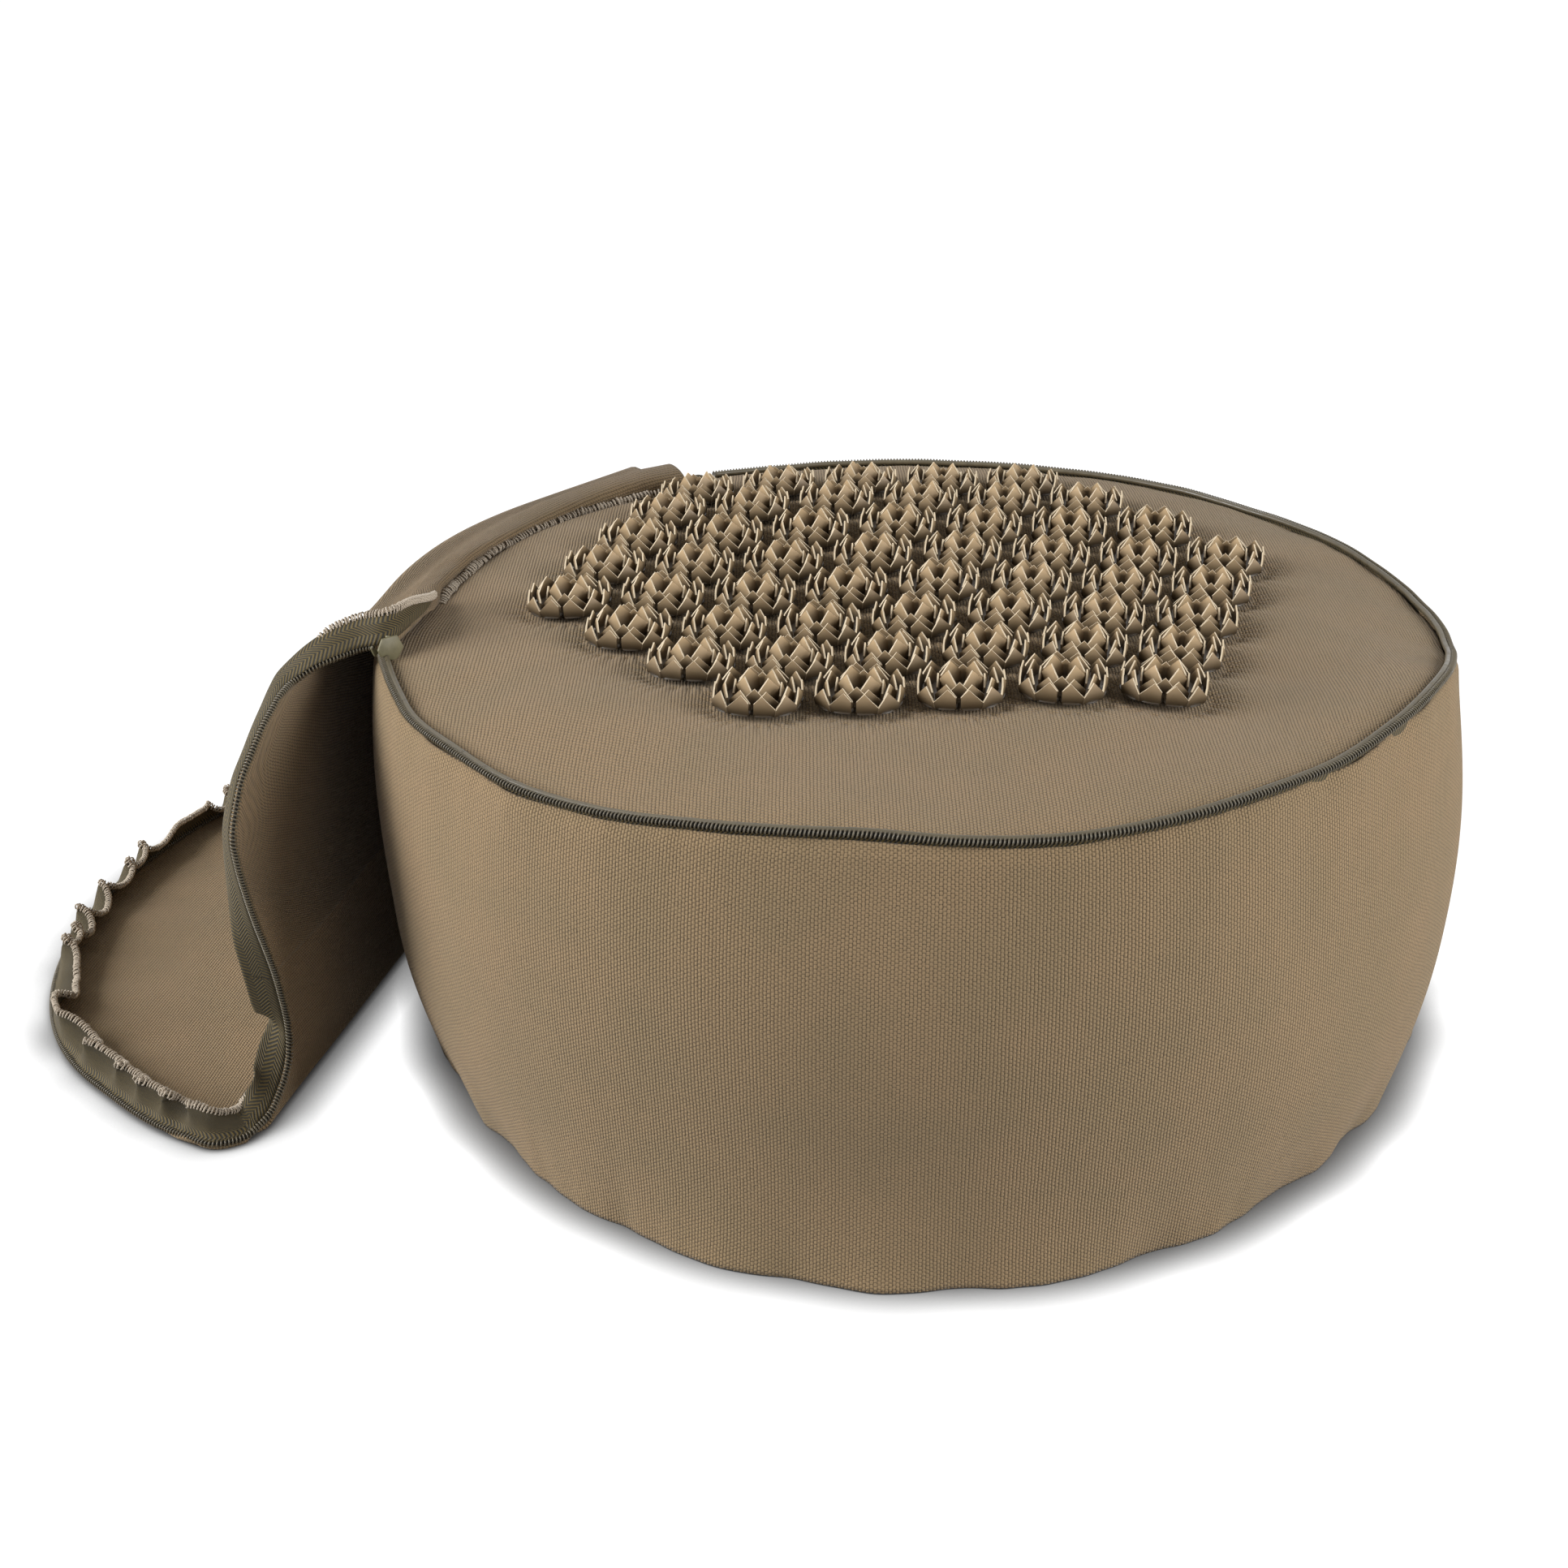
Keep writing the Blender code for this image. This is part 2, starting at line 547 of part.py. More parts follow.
def add_slider():
    """Slider, bridge and pull, drawn at azimuth 0 and turned to the zip's start."""
    turn = Matrix.Rotation(math.radians(ZIP_START), 4, "Z")
    metal = (OLIVE_METAL, 0.4, 0.8)
    half = SLIDER_LENGTH / 2
    lane = COIL_DIAMETER / 2 + SLIDER_CLEARANCE
    inner, outer = RIM_RADIUS - lane, RIM_RADIUS + lane
    low, wedge = RIM_HEIGHT - lane - SLIDER_LIP, RIM_HEIGHT + lane
    high = wedge + SLIDER_WEDGE + 2 * lane
    slot = TAPE / 2 + SLIDER_CLEARANCE
    bite = SLIDER_PLATE / 2
    trim = SLIDER_LIP * 0.2

    body = boxes("zip_slider", [((inner - SLIDER_PLATE, -half, low), (inner, half, high))], *metal)
    body.matrix_world = turn
    inner_lip = ((inner - bite, trim - half, low + trim), (RIM_RADIUS - slot, half - trim, low + SLIDER_LIP))
    outer_lip = ((RIM_RADIUS + slot, trim - half, low + trim), (outer + bite, half - trim, low + SLIDER_LIP))
    back, front = -half * POST_BEHIND, half * POST_AHEAD
    post = ((inner - bite, back, wedge), (outer + bite, front, wedge + SLIDER_WEDGE))
    for name, shapes in (
        ("slider_outer_plate", [((outer, -half, low), (outer + SLIDER_PLATE, half, high))]),
        ("slider_lips", [inner_lip, outer_lip]),
        ("slider_post", [post]),
    ):
        piece = boxes(name, shapes, *metal, CUTTERS)
        piece.matrix_world = turn
        join(body, piece)

    plate_face = outer + SLIDER_PLATE
    bar_radius = plate_face + BRIDGE_STAND
    bar_height = RIM_HEIGHT + BRIDGE_ABOVE_COIL
    end = BRIDGE_LENGTH / 2
    root = plate_face + STITCH_GAP
    arch = ((root, -end), (bar_radius, -end), (bar_radius, end), (root, end))
    wire = [Vector((x, y, bar_height)) for x, y in arch]
    bridge = tube("zip_slider_bridge", wire, BRIDGE_WIRE, OLIVE_METAL, 0.35)
    bridge.matrix_world = turn

    eye = BRIDGE_WIRE / 2 + PULL_EYE_CLEARANCE
    out = eye + PULL_EYE_WALL
    wide = PULL_WIDTH / 2
    thin = PULL_THICKNESS / 2
    side_at_foot = side_radius(ZIP_START, RIM_HEIGHT - PULL_LENGTH) + FABRIC_GAP + thin
    lean = math.atan2(max(side_at_foot - bar_radius, 0.0), PULL_LENGTH)
    hang = turn @ Matrix.Translation((bar_radius, 0.0, bar_height)) @ Matrix.Rotation(-lean, 4, "Y")
    pull = boxes("zip_pull", [((-out, -wide, eye), (out, wide, out))], *metal)
    pull.matrix_world = hang
    for name, shapes in (
        ("pull_eye_sides", [
            ((-out, -wide, trim - out), (-eye, wide, out - trim)),
            ((eye, -wide, trim - out), (out, wide, out - trim)),
        ]),
        ("pull_eye_floor", [((-out, -wide, -out), (out, wide, -eye))]),
        ("pull_tongue", [((-thin, trim - wide, -PULL_LENGTH), (thin, wide - trim, -eye - trim))]),
    ):
        piece = boxes(name, shapes, *metal, CUTTERS)
        piece.matrix_world = hang
        join(pull, piece)
    joint_axis("slider_travel_axis", (0.0, 0.0, RIM_HEIGHT), [body, bridge])
    joint_axis("pull_swing_axis", polar(ZIP_START, bar_radius, bar_height), [pull])


def wall_plan(u):
    """The hanging lid from above: its point and outward normal at the distance u from the front corner."""
    past_arc = u - FRONT_RUN - ARC_RUN
    if FRONT_RUN <= u and past_arc <= 0.0:
        azimuth = FRONT_TANGENT - math.degrees((u - FRONT_RUN) / WRAP_RADIUS)
        return polar(azimuth, WRAP_RADIUS), polar(azimuth, 1.0)
    azimuth, past = (BACK_TANGENT, past_arc) if past_arc > 0.0 else (FRONT_TANGENT, u - FRONT_RUN)
    along = polar(azimuth - 90.0, 1.0)
    return polar(azimuth, WRAP_RADIUS) + along * past, polar(azimuth, 1.0)


def on_wall(u, z, out=0.0):
    point, normal = wall_plan(u)
    return point + normal * out + Vector((0, 0, z))


def drop_height(share):
    return LID_FOOT + (RIM_HEIGHT - LID_FOOT) * share


def edge_at(edge, share):
    """The setback of a lid edge at a share of the drop's height: a smooth line through the edge's points."""
    shares = [at for at, _ in edge]
    setbacks = [setback for _, setback in edge]
    slopes = np.gradient(setbacks, shares)
    i = min(int(np.searchsorted(shares, share, side="right")) - 1, len(edge) - 2)
    width = shares[i + 1] - shares[i]
    x = (share - shares[i]) / width
    start, end = setbacks[i], setbacks[i + 1]
    leave, arrive = slopes[i] * width, slopes[i + 1] * width
    return (
        start * (1 - 3 * x**2 + 2 * x**3) + leave * (x - 2 * x**2 + x**3)
        + end * (3 * x**2 - 2 * x**3) + arrive * (x**3 - x**2)
    )


def offset_line(points, distance):
    """A flat line moved sideways, to the left of its run, by the distance."""
    points = np.array(points)
    run = np.gradient(points, axis=0)
    run /= np.linalg.norm(run, axis=1)[:, None]
    return points + distance * np.stack([-run[:, 1], run[:, 0]], axis=1)


def add_lid_drop():
    """The hanging part of the lid, with the zip half along its front edge."""
    rows = 12

    def wall(s, t):
        front = edge_at(FRONT_EDGE, t)
        back = LID_DIAMETER - edge_at(BACK_EDGE, t) * (LID_DIAMETER - FOLD_BACK)
        return on_wall(front + (back - front) * s, drop_height(t))

    panel = sheet("lid_drop_panel", wall, 24, rows, LID_THICKNESS, CANVAS)

    edge = [(edge_at(FRONT_EDGE, i / rows), drop_height(i / rows)) for i in range(rows + 1)]
    edge = [*edge[2:-1], tuple(np.mean(edge[-2:], axis=0))]
    coil = offset_line(edge, COIL_DIAMETER / 2 + 2 * STITCH_GAP)
    zip_coil = tube("lid_drop_coil", [on_wall(u, z) for u, z in coil], COIL_DIAMETER, COIL_GREY)

    on_back = LID_THICKNESS / 2 + FABRIC_GAP + TAPE / 2
    near, far = offset_line(edge, -STITCH_GAP), offset_line(edge, -LID_TAPE_WIDTH)

    def tape(s, t):
        index = round(s * (len(edge) - 1))
        u, z = near[index] * (1 - t) + far[index] * t
        return on_wall(u, z, on_back)

    zip_tape = sheet("lid_drop_tape", tape, len(edge) - 1, 1, TAPE, TAPE_OLIVE)
    thread = offset_line(edge, -LID_TAPE_WIDTH - THREAD_GAP - OVERLOCK / 2)
    stand = LID_THICKNESS / 2 + FABRIC_GAP + OVERLOCK / 2
    edging = tube(
        "lid_drop_overlock", [on_wall(u, z, stand) for u, z in thread], OVERLOCK, THREAD, sides_step=0
    )
    hinge = polar(LIFT_AZIMUTH, RIM_RADIUS - LIFT_INSET, RIM_HEIGHT + LIFT_HEIGHT)
    joint_axis("lid_lift_axis", hinge, [panel, zip_coil, zip_tape, edging])


def toe_point(u, t):
    """The lid on the floor: from the crease at t = 0 to its outer edge at t = 1."""
    radius = LID_DIAMETER / 2
    reach = TOE_REACH * (1.0 - abs(1.0 - u / radius) ** TOE_FULLNESS) ** (1.0 / TOE_FULLNESS)
    point, normal = wall_plan(u)
    start = LID_THICKNESS / 2 + CREASE_GAP
    ahead = Vector((0, 0, 1)).cross(normal)
    front = max(0.0, 1.0 - u / TOE_BULGE_LENGTH) ** 2
    bulge = TOE_FRONT_BULGE * math.sin(math.pi * TOE_BULGE_TURN * min(t, 1.0)) * front
    return point + normal * (start + reach * t) + ahead * bulge


def add_lid_toe():
    """The part of the lid on the floor, with the zip half, tape and overlocked edge round it."""
    width = LID_DIAMETER - 2 * TOE_END

    def floor(s, t):
        at = toe_point(TOE_END + width * s, t)
        return Vector((at.x, at.y, LID_THICKNESS / 2))

    columns = 34
    panel = sheet("lid_toe_panel", floor, columns, 4, LID_THICKNESS, CANVAS)

    spans = [TOE_END + width * i / columns for i in range(columns + 1)]
    outline = [toe_point(TOE_END, t) for t in (0.5, 0.75)] + [toe_point(u, 1.0) for u in spans]
    outline += [toe_point(LID_DIAMETER - TOE_END, t) for t in (0.75, 0.5)]
    flat = [(point.x, point.y) for point in outline]
    coil = offset_line(flat, COIL_DIAMETER / 2 + 2 * STITCH_GAP)
    on_top = LID_THICKNESS + FABRIC_GAP + TAPE / 2
    level = max(on_top - COIL_BELOW_TAPE, COIL_DIAMETER / 2 + STITCH_GAP)
    zip_coil = tube("lid_toe_coil", [Vector((x, y, level)) for x, y in coil], COIL_DIAMETER, COIL_GREY)
    near, far = offset_line(flat, -STITCH_GAP), offset_line(flat, -LID_TAPE_WIDTH)

    def tape(s, t):
        index = round(s * (len(flat) - 1))
        x, y = near[index] * (1 - t) + far[index] * t
        return Vector((x, y, on_top))

    zip_tape = sheet("lid_toe_tape", tape, len(flat) - 1, 1, TAPE, TAPE_OLIVE)
    thread = offset_line(flat, -LID_TAPE_WIDTH - THREAD_GAP - OVERLOCK / 2)
    stand = LID_THICKNESS + FABRIC_GAP + OVERLOCK / 2
    edging = tube(
        "lid_toe_overlock", [Vector((x, y, stand)) for x, y in thread], OVERLOCK, THREAD, sides_step=0
    )
    chord_middle = (wall_plan(0.0)[0] + wall_plan(LID_DIAMETER)[0]) / 2
    crease = chord_middle + polar(LIFT_AZIMUTH, CREASE_OUT, LID_FOOT)
    joint_axis("lid_unfold_axis", crease, [panel, zip_coil, zip_tape, edging])


def add_lid_fold():
    """The roll where the lid turns over the rim, from its seam on the panel to just inside the wall."""
    inset = LID_THICKNESS + FOLD_END_GAP

    def ends(u):
        point, normal = wall_plan(u)
        outer = point - normal * inset + Vector((0, 0, RIM_HEIGHT - FOLD_END_GAP))
        azimuth = math.degrees(math.atan2(point.y, point.x))
        seam = polar(azimuth, SEAM_RADIUS)
        seam.z = panel_height(seam.x, seam.y) + FABRIC_GAP
        return seam, outer

    def roll(s, t):
        seam, outer = ends(FOLD_FRONT + (FOLD_BACK - FOLD_FRONT) * s)
        inward = -Vector((seam.x, seam.y, 0)).normalized()
        rise = seam + inward * FOLD_BEHIND + Vector((0, 0, FOLD_RISE))
        shoulder = outer + Vector((0, 0, FOLD_SHOULDER))
        weights = ((1 - t) ** 3, 3 * (1 - t) ** 2 * t, 3 * (1 - t) * t**2, t**3)
        knots = (seam, rise, shoulder, outer)
        return sum((knot * weight for knot, weight in zip(knots, weights)), Vector())

    columns = 18
    sheet("lid_fold", roll, columns, 7, LID_THICKNESS, CANVAS)

    threads = []
    for i in range(columns + 1):
        seam, _ = ends(FOLD_FRONT + (FOLD_BACK - FOLD_FRONT) * i / columns)
        flat = Vector((seam.x, seam.y, 0))
        shift = LID_THICKNESS / 2 + FABRIC_GAP + OVERLOCK / 2 + STITCH_GAP
        at = flat - flat.normalized() * shift
        at.z = panel_height(at.x, at.y) + FABRIC_GAP + OVERLOCK / 2
        threads.append(at)
    tube("hinge_seam_overlock", threads, OVERLOCK, THREAD, sides_step=0)


add_cover()
add_seam_bindings()
add_filling()
add_panel()
add_spike_rows()
add_rim_zip()
add_tape_ends()
add_slider()
add_lid_fold()
add_lid_drop()
add_lid_toe()
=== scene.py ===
"""Looks of an acupressure floor cushion, laid out as a Blender add-on and run as a script.

The frame's solids give the places, and the pieces made here stand for them with the cloth, threads, coil turns
and petals of the real one. Metres, +Z up. The camera side is -Y and the lid hangs on the -X side.
Azimuths are in degrees from +X, counter-clockwise seen from above.
"""

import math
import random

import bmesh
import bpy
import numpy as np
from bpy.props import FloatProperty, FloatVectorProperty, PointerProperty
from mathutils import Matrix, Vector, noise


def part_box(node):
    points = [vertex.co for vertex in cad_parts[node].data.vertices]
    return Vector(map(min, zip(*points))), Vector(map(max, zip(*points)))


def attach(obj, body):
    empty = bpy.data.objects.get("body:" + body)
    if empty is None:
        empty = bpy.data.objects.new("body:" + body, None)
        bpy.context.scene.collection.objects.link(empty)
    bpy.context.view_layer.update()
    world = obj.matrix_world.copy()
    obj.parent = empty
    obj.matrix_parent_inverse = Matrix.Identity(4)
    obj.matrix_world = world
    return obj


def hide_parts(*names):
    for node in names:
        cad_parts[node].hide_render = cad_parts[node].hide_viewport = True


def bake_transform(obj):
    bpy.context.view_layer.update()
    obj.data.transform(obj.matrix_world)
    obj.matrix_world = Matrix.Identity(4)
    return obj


bl_info = {
    "name": "Acupressure Floor Cushion",
    "version": (1, 0, 0),
    "blender": (4, 5, 0),
    "location": "3D View > Sidebar > Cushion",
    "description": "Builds a round floor cushion with spike discs, a zip and a folded-back lid",
    "category": "Object",
}

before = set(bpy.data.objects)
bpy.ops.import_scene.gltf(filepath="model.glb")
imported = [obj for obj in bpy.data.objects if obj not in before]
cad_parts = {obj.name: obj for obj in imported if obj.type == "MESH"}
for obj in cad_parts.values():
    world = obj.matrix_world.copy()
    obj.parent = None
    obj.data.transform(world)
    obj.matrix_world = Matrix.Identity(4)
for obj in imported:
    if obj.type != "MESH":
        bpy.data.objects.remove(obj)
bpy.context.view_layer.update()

MM = 0.001

# Cover, as the frame's solids have it
RIM_RADIUS = 0.202
RIM_HEIGHT = 0.168
FABRIC = 0.0016
SIDE_SWELL = 0.0079
SIDE_SWELL_BIAS = 1.15
BASE_RADIUS = 0.2005
BASE_LOBE = 0.0085
BASE_LOBES = 3
BASE_LOBE_AZIMUTH = 262.0
BASE_LOBE_HEIGHT = 0.060
FABRIC_GAP = 0.0004
BAND_TOP_RADIUS = 0.2045
BAND_TOP = 0.1632
PANEL_RADIUS = 0.2012
PANEL_TOP = 0.1641
PANEL_CROWN = 0.0125
PANEL_FULLNESS = 4.0
PANEL_WAVE = 0.0018
PANEL_WAVE_LENGTH = 0.150
PANEL_WAVE_START = 0.014
PANEL_WAVE_SLANT = 0.35
PANEL_ROLL = 0.006

# Slack of the panel below the frame's crown: in the middle, between two lines with soft ends, then in round
# hollows with their depth, middle and reach
SLACK_MIDDLE = 0.0018
SLACK_FRONT, SLACK_FRONT_FADE = -0.100, 0.035
SLACK_BACK, SLACK_BACK_FADE = 0.100, 0.045
HOLLOWS = ((0.0020, (-0.090, -0.045), (0.050, 0.050)), (0.0028, (0.120, 0.040), (0.045, 0.060)))

# Zip, as the frame's solids have it
ZIP_START = 190.0
ZIP_END = 475.0
TAPE = 0.0008
TAPE_TOP = 0.1662
TAPE_LOW = 0.1585
BAR_RADIUS = 0.2083
BAR_HEIGHT = 0.170

# Lid, as the frame's solids have it
LID_THICKNESS = 0.0024
WRAP_RADIUS = 0.2169
LID_DIAMETER = 0.404
FRONT_TANGENT = 166.9
BACK_TANGENT = 140.0
CREASE_GAP = 0.0004
TOE_REACH = 0.148
TOE_FULLNESS = 2.3
TOE_FRONT_BULGE = 0.013
TOE_BULGE_LENGTH = 0.020
TOE_BULGE_TURN = 0.70
SEAM_RADIUS = 0.190
FRONT_RUN = 0.16487
ARC_RUN = 0.1018
FOLD_BACK = 0.3355

# Spike discs, as the frame's solids have them
DISC_RADIUS = 0.01585
DISC_GAP = 0.0007
FIRST_DISC = Vector((-0.0623, -0.1056))
COLUMN_STEP = Vector((0.03555, 0.00228))
ROW_STEP = Vector((0.01115, 0.03605))
ROW_COLUMNS = ((0, 4), (-1, 4), (-2, 4), (-3, 4), (-3, 4), (-3, 3), (-3, 2), (-3, 1))

# Azimuths where the zip's line leaves the true circle and comes back to it, and over how far it does so. The
# count round the rim starts inside the lid's stretch.
LINE_START, LINE_START_FADE = 176.0, 12.0
LINE_END, LINE_END_FADE = 482.0, 8.0
COUNT_START = 150.0
# The zip's line wanders on the cloth: azimuth, then how far it stands out and up there, in mm.
RIM_LINE = (
    (188.0, 5.5, -0.3), (192.7, 5.2, -0.5), (199.0, 4.7, -2.5), (205.0, 5.3, -4.8), (215.0, 3.6, -5.5),
    (227.0, 4.8, -6.0), (237.0, 3.8, -4.7), (246.0, 2.5, -2.0), (256.0, 1.0, 0.0), (262.0, -0.6, 0.3),
    (271.0, 1.3, -0.4), (281.0, 1.3, -1.0), (291.0, 0.0, 0.5), (301.0, -1.5, 2.5), (311.0, -1.9, 3.7),
    (322.0, -2.8, 6.5), (333.0, -2.7, 7.5), (338.0, -2.3, 6.5), (345.0, -2.7, 1.5), (352.0, -2.0, -3.0),
    (360.0, -1.0, -4.2), (370.0, -0.5, -4.8), (380.0, 0.0, -4.0), (392.0, 0.0, -2.0), (405.0, 0.5, -1.0),
    (430.0, 0.0, 0.3), (455.0, 0.6, 0.0), (475.0, 0.0, 0.0),
)
# The hanging lid's front edge: height, then how far it is set back, in mm.
FRONT_EDGE = (
    (1.2, 4.5), (3.0, 5.5), (6.0, 9.5), (11.0, 20.0), (15.0, 25.5), (23.0, 30.0), (33.0, 30.5), (46.0, 27.5),
    (60.0, 23.0), (74.0, 17.0), (86.0, 11.5), (100.0, 6.0), (116.0, 1.0), (126.0, 0.0), (136.0, 5.5),
    (144.0, 12.7), (148.5, 20.6), (156.3, 36.5), (158.6, 44.0), (160.6, 52.0), (161.2, 60.5),
)
# Its back edge likewise, set back from the far corner.
BACK_EDGE = ((1.2, 0.0), (60.0, 2.0), (100.0, 7.0), (126.0, 19.0), (151.0, 54.0), (168.0, 68.5))
# Height of the hanging part's top: distance from the front corner, then height, in mm.
WALL_TOP = (
    (60.5, 161.2), (85.0, 160.5), (110.0, 160.0), (140.0, 160.5), (170.0, 163.0), (210.0, 165.5),
    (260.0, 167.0), (335.5, 168.0),
)
# The fold's ridge: azimuth, then radius in mm.
RIDGE = (
    (118.0, 205.0), (122.0, 203.0), (128.0, 199.5), (136.0, 197.0), (143.0, 195.5), (150.0, 195.0),
    (160.0, 195.0), (169.0, 196.0), (177.0, 197.5), (184.0, 199.5), (193.0, 203.0),
)
SEAM_FRONT = 175.5
SEAM_BACK = 120.0
# The lid's edge from its seam past the slider to the wall: share of the roll, then x, y and z in mm.
TOP_EDGE = (
    (0.0, -189.3, 14.0, 168.9), (0.20, -190.5, -5.0, 171.0), (0.38, -194.5, -24.0, 172.0),
    (0.52, -199.0, -38.0, 171.8), (0.60, -203.5, -42.0, 171.2), (0.68, -210.0, -39.5, 169.6),
    (0.76, -215.7, -41.5, 168.3), (0.84, -221.0, -45.5, 167.5), (0.92, -227.0, -48.8, 165.8),
    (1.0, -234.9, -52.6, 161.4),
)
SLIDER_SHARE = 0.59


def linear(hex_colour):
    """An sRGB hex colour as linear red, green, blue and alpha."""
    parts = [int(hex_colour[i:i + 2], 16) / 255 for i in (1, 3, 5)]
    return (*[c / 12.92 if c <= 0.04045 else ((c + 0.055) / 1.055) ** 2.4 for c in parts], 1.0)


class CoverSettings(bpy.types.PropertyGroup):
    """Cloth of the cover."""

    yarn: FloatVectorProperty(
        name="Yarn", description="Colour of the canvas where its yarn crowns", subtype="COLOR", size=4,
        min=0, max=1, default=linear("#A18967"),
    )
    furrow: FloatVectorProperty(
        name="Furrow", description="Colour between the yarns", subtype="COLOR", size=4,
        min=0, max=1, default=linear("#52432F"),
    )
    yarn_pitch: FloatProperty(
        name="Yarn pitch", description="Distance between neighbouring rows of yarn", unit="LENGTH",
        min=0.0005, max=0.005, default=0.0012,
    )
    scallop: FloatProperty(
        name="Scallop", description="How far the bottom edge bulges between its gathers", unit="LENGTH",
        min=0, max=0.01, default=0.0017,
    )


class DiscSettings(bpy.types.PropertyGroup):
    """Lotus spike discs."""

    plastic: FloatVectorProperty(
        name="Plastic", description="Colour of the discs", subtype="COLOR", size=4,
        min=0, max=1, default=linear("#CBAF88"),
    )
    # Petal rim: a painted highlight, the pale colour of the petals' thin top edges where the light catches
    # them.
    rim: FloatVectorProperty(
        name="Petal rim", description="Colour of the thin upper edges, where the plastic is worn pale",
        subtype="COLOR", size=4, min=0, max=1, default=linear("#E5D3B5"),
    )
    petal_thickness: FloatProperty(
        name="Petal thickness", description="Wall of a petal at half its height", unit="LENGTH",
        min=0.0004, max=0.003, default=0.00080,
    )


class ZipSettings(bpy.types.PropertyGroup):
    """Coil zip with its tapes, threads and slider."""

    coil: FloatVectorProperty(
        name="Coil", description="Colour of the coil's turns", subtype="COLOR", size=4,
        min=0, max=1, default=linear("#50493A"),
    )
    tape: FloatVectorProperty(
        name="Tape", description="Colour of the zip's woven tape", subtype="COLOR", size=4,
        min=0, max=1, default=linear("#463F28"),
    )
    thread: FloatVectorProperty(
        name="Thread", description="Colour of the overlock thread", subtype="COLOR", size=4,
        min=0, max=1, default=linear("#D1C3B1"),
    )
    metal: FloatVectorProperty(
        name="Slider", description="Colour of the slider's paint", subtype="COLOR", size=4,
        min=0, max=1, default=linear("#3E3C16"),
    )
    coil_pitch: FloatProperty(
        name="Coil pitch", description="Distance between two turns of the coil", unit="LENGTH",
        min=0.0006, max=0.003, default=0.00140,
    )


class LidSettings(bpy.types.PropertyGroup):
    """Lid that is folded over the rim."""

    tape_width: FloatProperty(
        name="Tape width", description="Width of the zip tape that stands off the lid", unit="LENGTH",
        min=0.004, max=0.02, default=0.0115,
    )
    ruffle: FloatProperty(
        name="Ruffle", description="Length of one ruffle of the tape", unit="LENGTH",
        min=0.008, max=0.05, default=0.026,
    )


class StageSettings(bpy.types.PropertyGroup):
    """Light and floor."""

    key: FloatProperty(name="Key light", description="Power of the large light at the left", unit="POWER",
                       min=0, max=1000, default=58.0)
    fill: FloatProperty(name="Fill light", description="Power of the light at the right", unit="POWER",
                        min=0, max=1000, default=43.0)
    top: FloatProperty(name="Top light", description="Power of the light above the back", unit="POWER",
                       min=0, max=1000, default=2.0)
    sky: FloatProperty(name="Sky", description="Strength of the even light from all round",
                       min=0, max=5, default=0.08)


def polar(azimuth, radius, z=0.0):
    """Points round the cushion's axis. Any of the three may be an array."""
    angle = np.radians(azimuth)
    return np.stack(np.broadcast_arrays(radius * np.cos(angle), radius * np.sin(angle), z), axis=-1)


def unit(vectors):
    return vectors / np.linalg.norm(vectors, axis=-1, keepdims=True)


def ease(x):
    x = np.clip(x, 0.0, 1.0)
    return x * x * (3 - 2 * x)


def through(places, values, at):
    """A smooth line through values at places, read at other places."""
    places, values = np.array(places, float), np.array(values, float)
    slopes = np.gradient(values, places, axis=0)
    at = np.clip(at, places[0], places[-1])
    i = np.clip(np.searchsorted(places, at, side="right") - 1, 0, len(places) - 2)
    width = places[i + 1] - places[i]
    x = (at - places[i]) / width
    spread = (...,) + (None,) * (values.ndim - 1)
    x, width = x[spread], width[spread]
    return (
        values[i] * (1 - 3 * x**2 + 2 * x**3) + slopes[i] * width * (x - 2 * x**2 + x**3)
        + values[i + 1] * (3 * x**2 - 2 * x**3) + slopes[i + 1] * width * (x**3 - x**2)
    )


def wander(x, seed, octaves=3):
    """A smooth random line from about -1 to 1. Its features are about 1 long."""
    rng = random.Random(seed)
    total = np.zeros_like(np.asarray(x, float))
    for octave in range(octaves):
        for _ in range(3):
            rate = 2**octave * rng.uniform(0.6, 1.4)
            total += np.sin(np.asarray(x) * rate * 2 * math.pi / 2.5 + rng.uniform(0, 6.3)) / 2**octave / 3
    return total


def lengths_along(points):
    return np.concatenate([[0.0], np.cumsum(np.linalg.norm(np.diff(points, axis=0), axis=1))])


def resample(points, step, *others):
    """The path with a point every step, and other values along it read at the same places."""
    run = lengths_along(points)
    at = np.linspace(0.0, run[-1], max(int(round(run[-1] / step)), 2) + 1)
    read = []
    for values in (points, *others):
        read.append(np.stack([np.interp(at, run, column) for column in np.array(values).T], axis=-1))
    return read if others else read[0]


# Surfaces of the cushion


def rim_line(azimuth):
    """How far the zip's line stands out and up from its true circle."""
    keys = np.array(RIM_LINE)
    azimuth = np.mod(np.asarray(azimuth, float) - COUNT_START, 360.0) + COUNT_START
    inside = ease((azimuth - LINE_START) / LINE_START_FADE) * ease((LINE_END - azimuth) / LINE_END_FADE)
    fine = 0.5 * wander(azimuth / 14.0, 3)
    offsets = through(keys[:, 0], keys[:, 1:], azimuth) + np.stack([fine, 0.6 * fine], axis=-1)
    return offsets * inside[..., None] * MM


def rim_place(azimuth, out=0.0, up=0.0):
    offset = rim_line(azimuth)
    return polar(azimuth, RIM_RADIUS + offset[..., 0] + out, RIM_HEIGHT + offset[..., 1] + up)


def side_radius(azimuth, z):
    """The side's outer face: swelling between its edges, with a wandering bottom edge."""
    share = np.clip(z / BAND_TOP, 0.0, 1.0)
    straight = BASE_RADIUS + (BAND_TOP_RADIUS - BASE_RADIUS) * share
    swell = SIDE_SWELL * np.sin(math.pi * share**SIDE_SWELL_BIAS)
    fade = np.maximum(0.0, 1.0 - z / BASE_LOBE_HEIGHT) ** 2
    lobe = BASE_LOBE * np.cos(np.radians(BASE_LOBES * (azimuth - BASE_LOBE_AZIMUTH)))
    return straight + swell + lobe * fade


